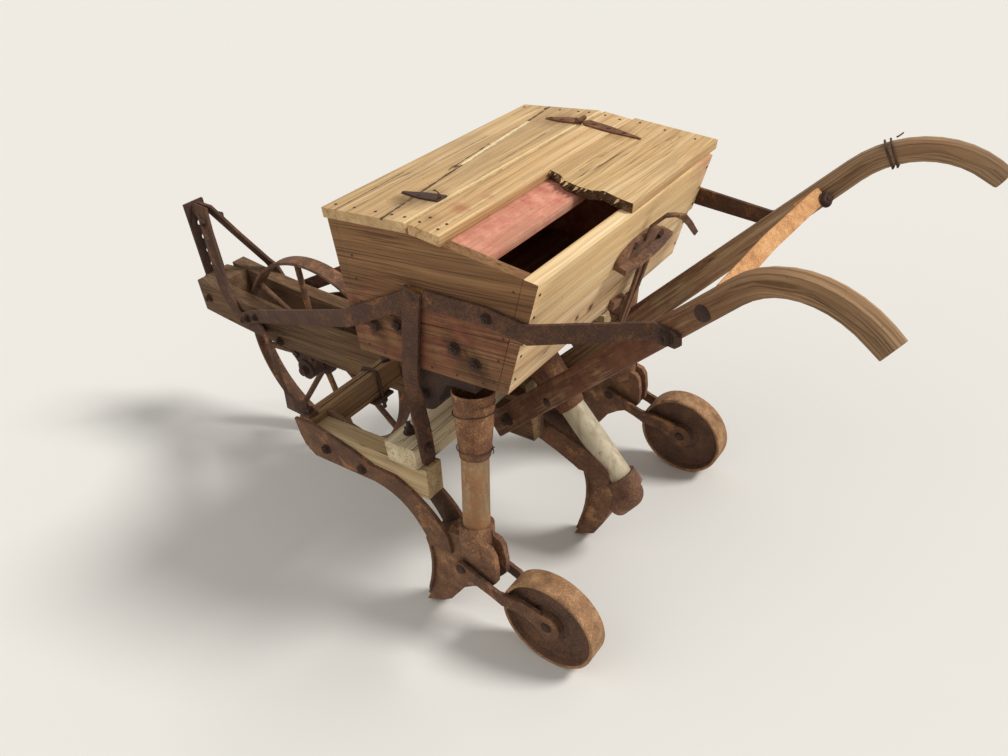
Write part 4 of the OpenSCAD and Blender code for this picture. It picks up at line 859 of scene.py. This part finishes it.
# Splinters along the broken edge of the lid, those level with its face in the face's own look
BREAK = [(-0.246, -0.003), (-0.263, 0.000), (-0.281, 0.016), (-0.300, 0.018), (-0.314, 0.018),
         (-0.337, 0.018), (-0.353, 0.004), (-0.375, 0.007), (-0.393, 0.012), (-0.416, 0.013)]
splinters = {False: Kit("lid_splinters", M["broken"], "lid", "board_wood"),
             True: Kit("lid_splinters_top", M["lid"], "lid", "board_wood")}
for (x0, y0), (x1, y1) in zip(BREAK, BREAK[1:]):
    count = max(2, round(abs(x1 - x0) / 0.0042))
    for k in range(count):
        way = (k + chance.random()) / count
        x, y = x0 + (x1 - x0) * way, y0 + (y1 - y0) * way
        face_z = surface("lid_board", (x, y - 0.010, OVER), DOWN)[0].z
        thick = chance.uniform(0.002, 0.006)
        level = face_z - (0.0004 if chance.random() < 0.3 else chance.uniform(0.001, 0.0125))
        reach = chance.choice((0.002, 0.004, 0.006, 0.009, 0.014)) * chance.uniform(0.7, 1.2)
        parts = splinters[level > face_z - 0.001].bm
        wide = chance.uniform(0.0015, 0.0042)
        root = y - 0.008
        corners = [(x - wide, root, level), (x + wide, root, level),
                   (x + wide, root, level - thick), (x - wide, root, level - thick)]
        tip = parts.verts.new((x + chance.uniform(-0.002, 0.002), y + reach,
                               level - thick * chance.uniform(0.2, 0.8)))
        verts = [parts.verts.new(v) for v in corners]
        for a in range(4):
            parts.faces.new((verts[a], verts[(a + 1) % 4], tip))
        parts.faces.new(verts[::-1])
for kit in splinters.values():
    kit.close()

# Floor, light and camera
FLOOR_SIZE = 40
bpy.ops.mesh.primitive_plane_add(size=FLOOR_SIZE, location=(0, 0, 0))
floor = bpy.context.object
floor.name = "floor"
ground = Tree("floor_grey")
ground.finish(srgb("d9d6d0"), 0.95, None, specular=0.05)
floor.data.materials.append(ground.mat)

world = bpy.data.worlds.new("studio")
bpy.context.scene.world = world
world.use_nodes = True
sky = world.node_tree.nodes
joins = world.node_tree.links
sky["Background"].inputs[0].default_value = (1, 0.985, 0.95, 1)

# The camera and mirrors see a paler wall than the one that lights the object
LIGHT_CAST, LIGHT_SEEN = 0.52, 0.80
seen = sky.new("ShaderNodeLightPath")
either = sky.new("ShaderNodeMath")
either.operation = "MAXIMUM"
joins.new(seen.outputs["Is Camera Ray"], either.inputs[0])
joins.new(seen.outputs["Is Glossy Ray"], either.inputs[1])
strength = sky.new("ShaderNodeMapRange")
strength.inputs["To Min"].default_value = LIGHT_CAST
strength.inputs["To Max"].default_value = LIGHT_SEEN
joins.new(either.outputs[0], strength.inputs["Value"])
joins.new(strength.outputs[0], sky["Background"].inputs[1])


def sun(name, toward, energy, angle):
    """A distant light that shines the given way, as wide in the sky as the angle."""
    data = bpy.data.lights.new(name, "SUN")
    data.energy = energy
    data.angle = math.radians(angle)
    obj = bpy.data.objects.new(name, data)
    bpy.context.scene.collection.objects.link(obj)
    obj.rotation_mode = "QUATERNION"
    obj.rotation_quaternion = Vector(toward).to_track_quat("-Z", "Y")


sun("key", (2.6, 1.5, -3.0), 2.8, 16)
sun("fill", (-1.5, -3.0, -2.4), 0.5, 60)

# The photograph's camera: place, direction and roll in radians, focal length in its pixels
EYE = (-1.1202, 1.2184, 1.3949)
AZIMUTH, DIP, ROLL = -0.860368, 0.565234, -0.140149
FOCAL_PIXELS, PHOTO_WIDTH, SENSOR = 859.95, 1008, 36
ahead = Vector((math.cos(DIP) * math.cos(AZIMUTH), math.cos(DIP) * math.sin(AZIMUTH), -math.sin(DIP)))
side = Vector((math.sin(AZIMUTH), -math.cos(AZIMUTH), 0))
side = side * math.cos(ROLL) + side.cross(ahead) * math.sin(ROLL)
up = side.cross(ahead)
camera = bpy.data.objects.new("camera", bpy.data.cameras.new("camera"))
bpy.context.scene.collection.objects.link(camera)
camera.data.sensor_width = SENSOR
camera.data.lens = FOCAL_PIXELS / PHOTO_WIDTH * SENSOR
camera.matrix_world = Matrix((side, up, -ahead)).transposed().to_4x4()
camera.location = EYE
bpy.context.scene.camera = camera
bpy.context.scene.view_settings.view_transform = "Standard"
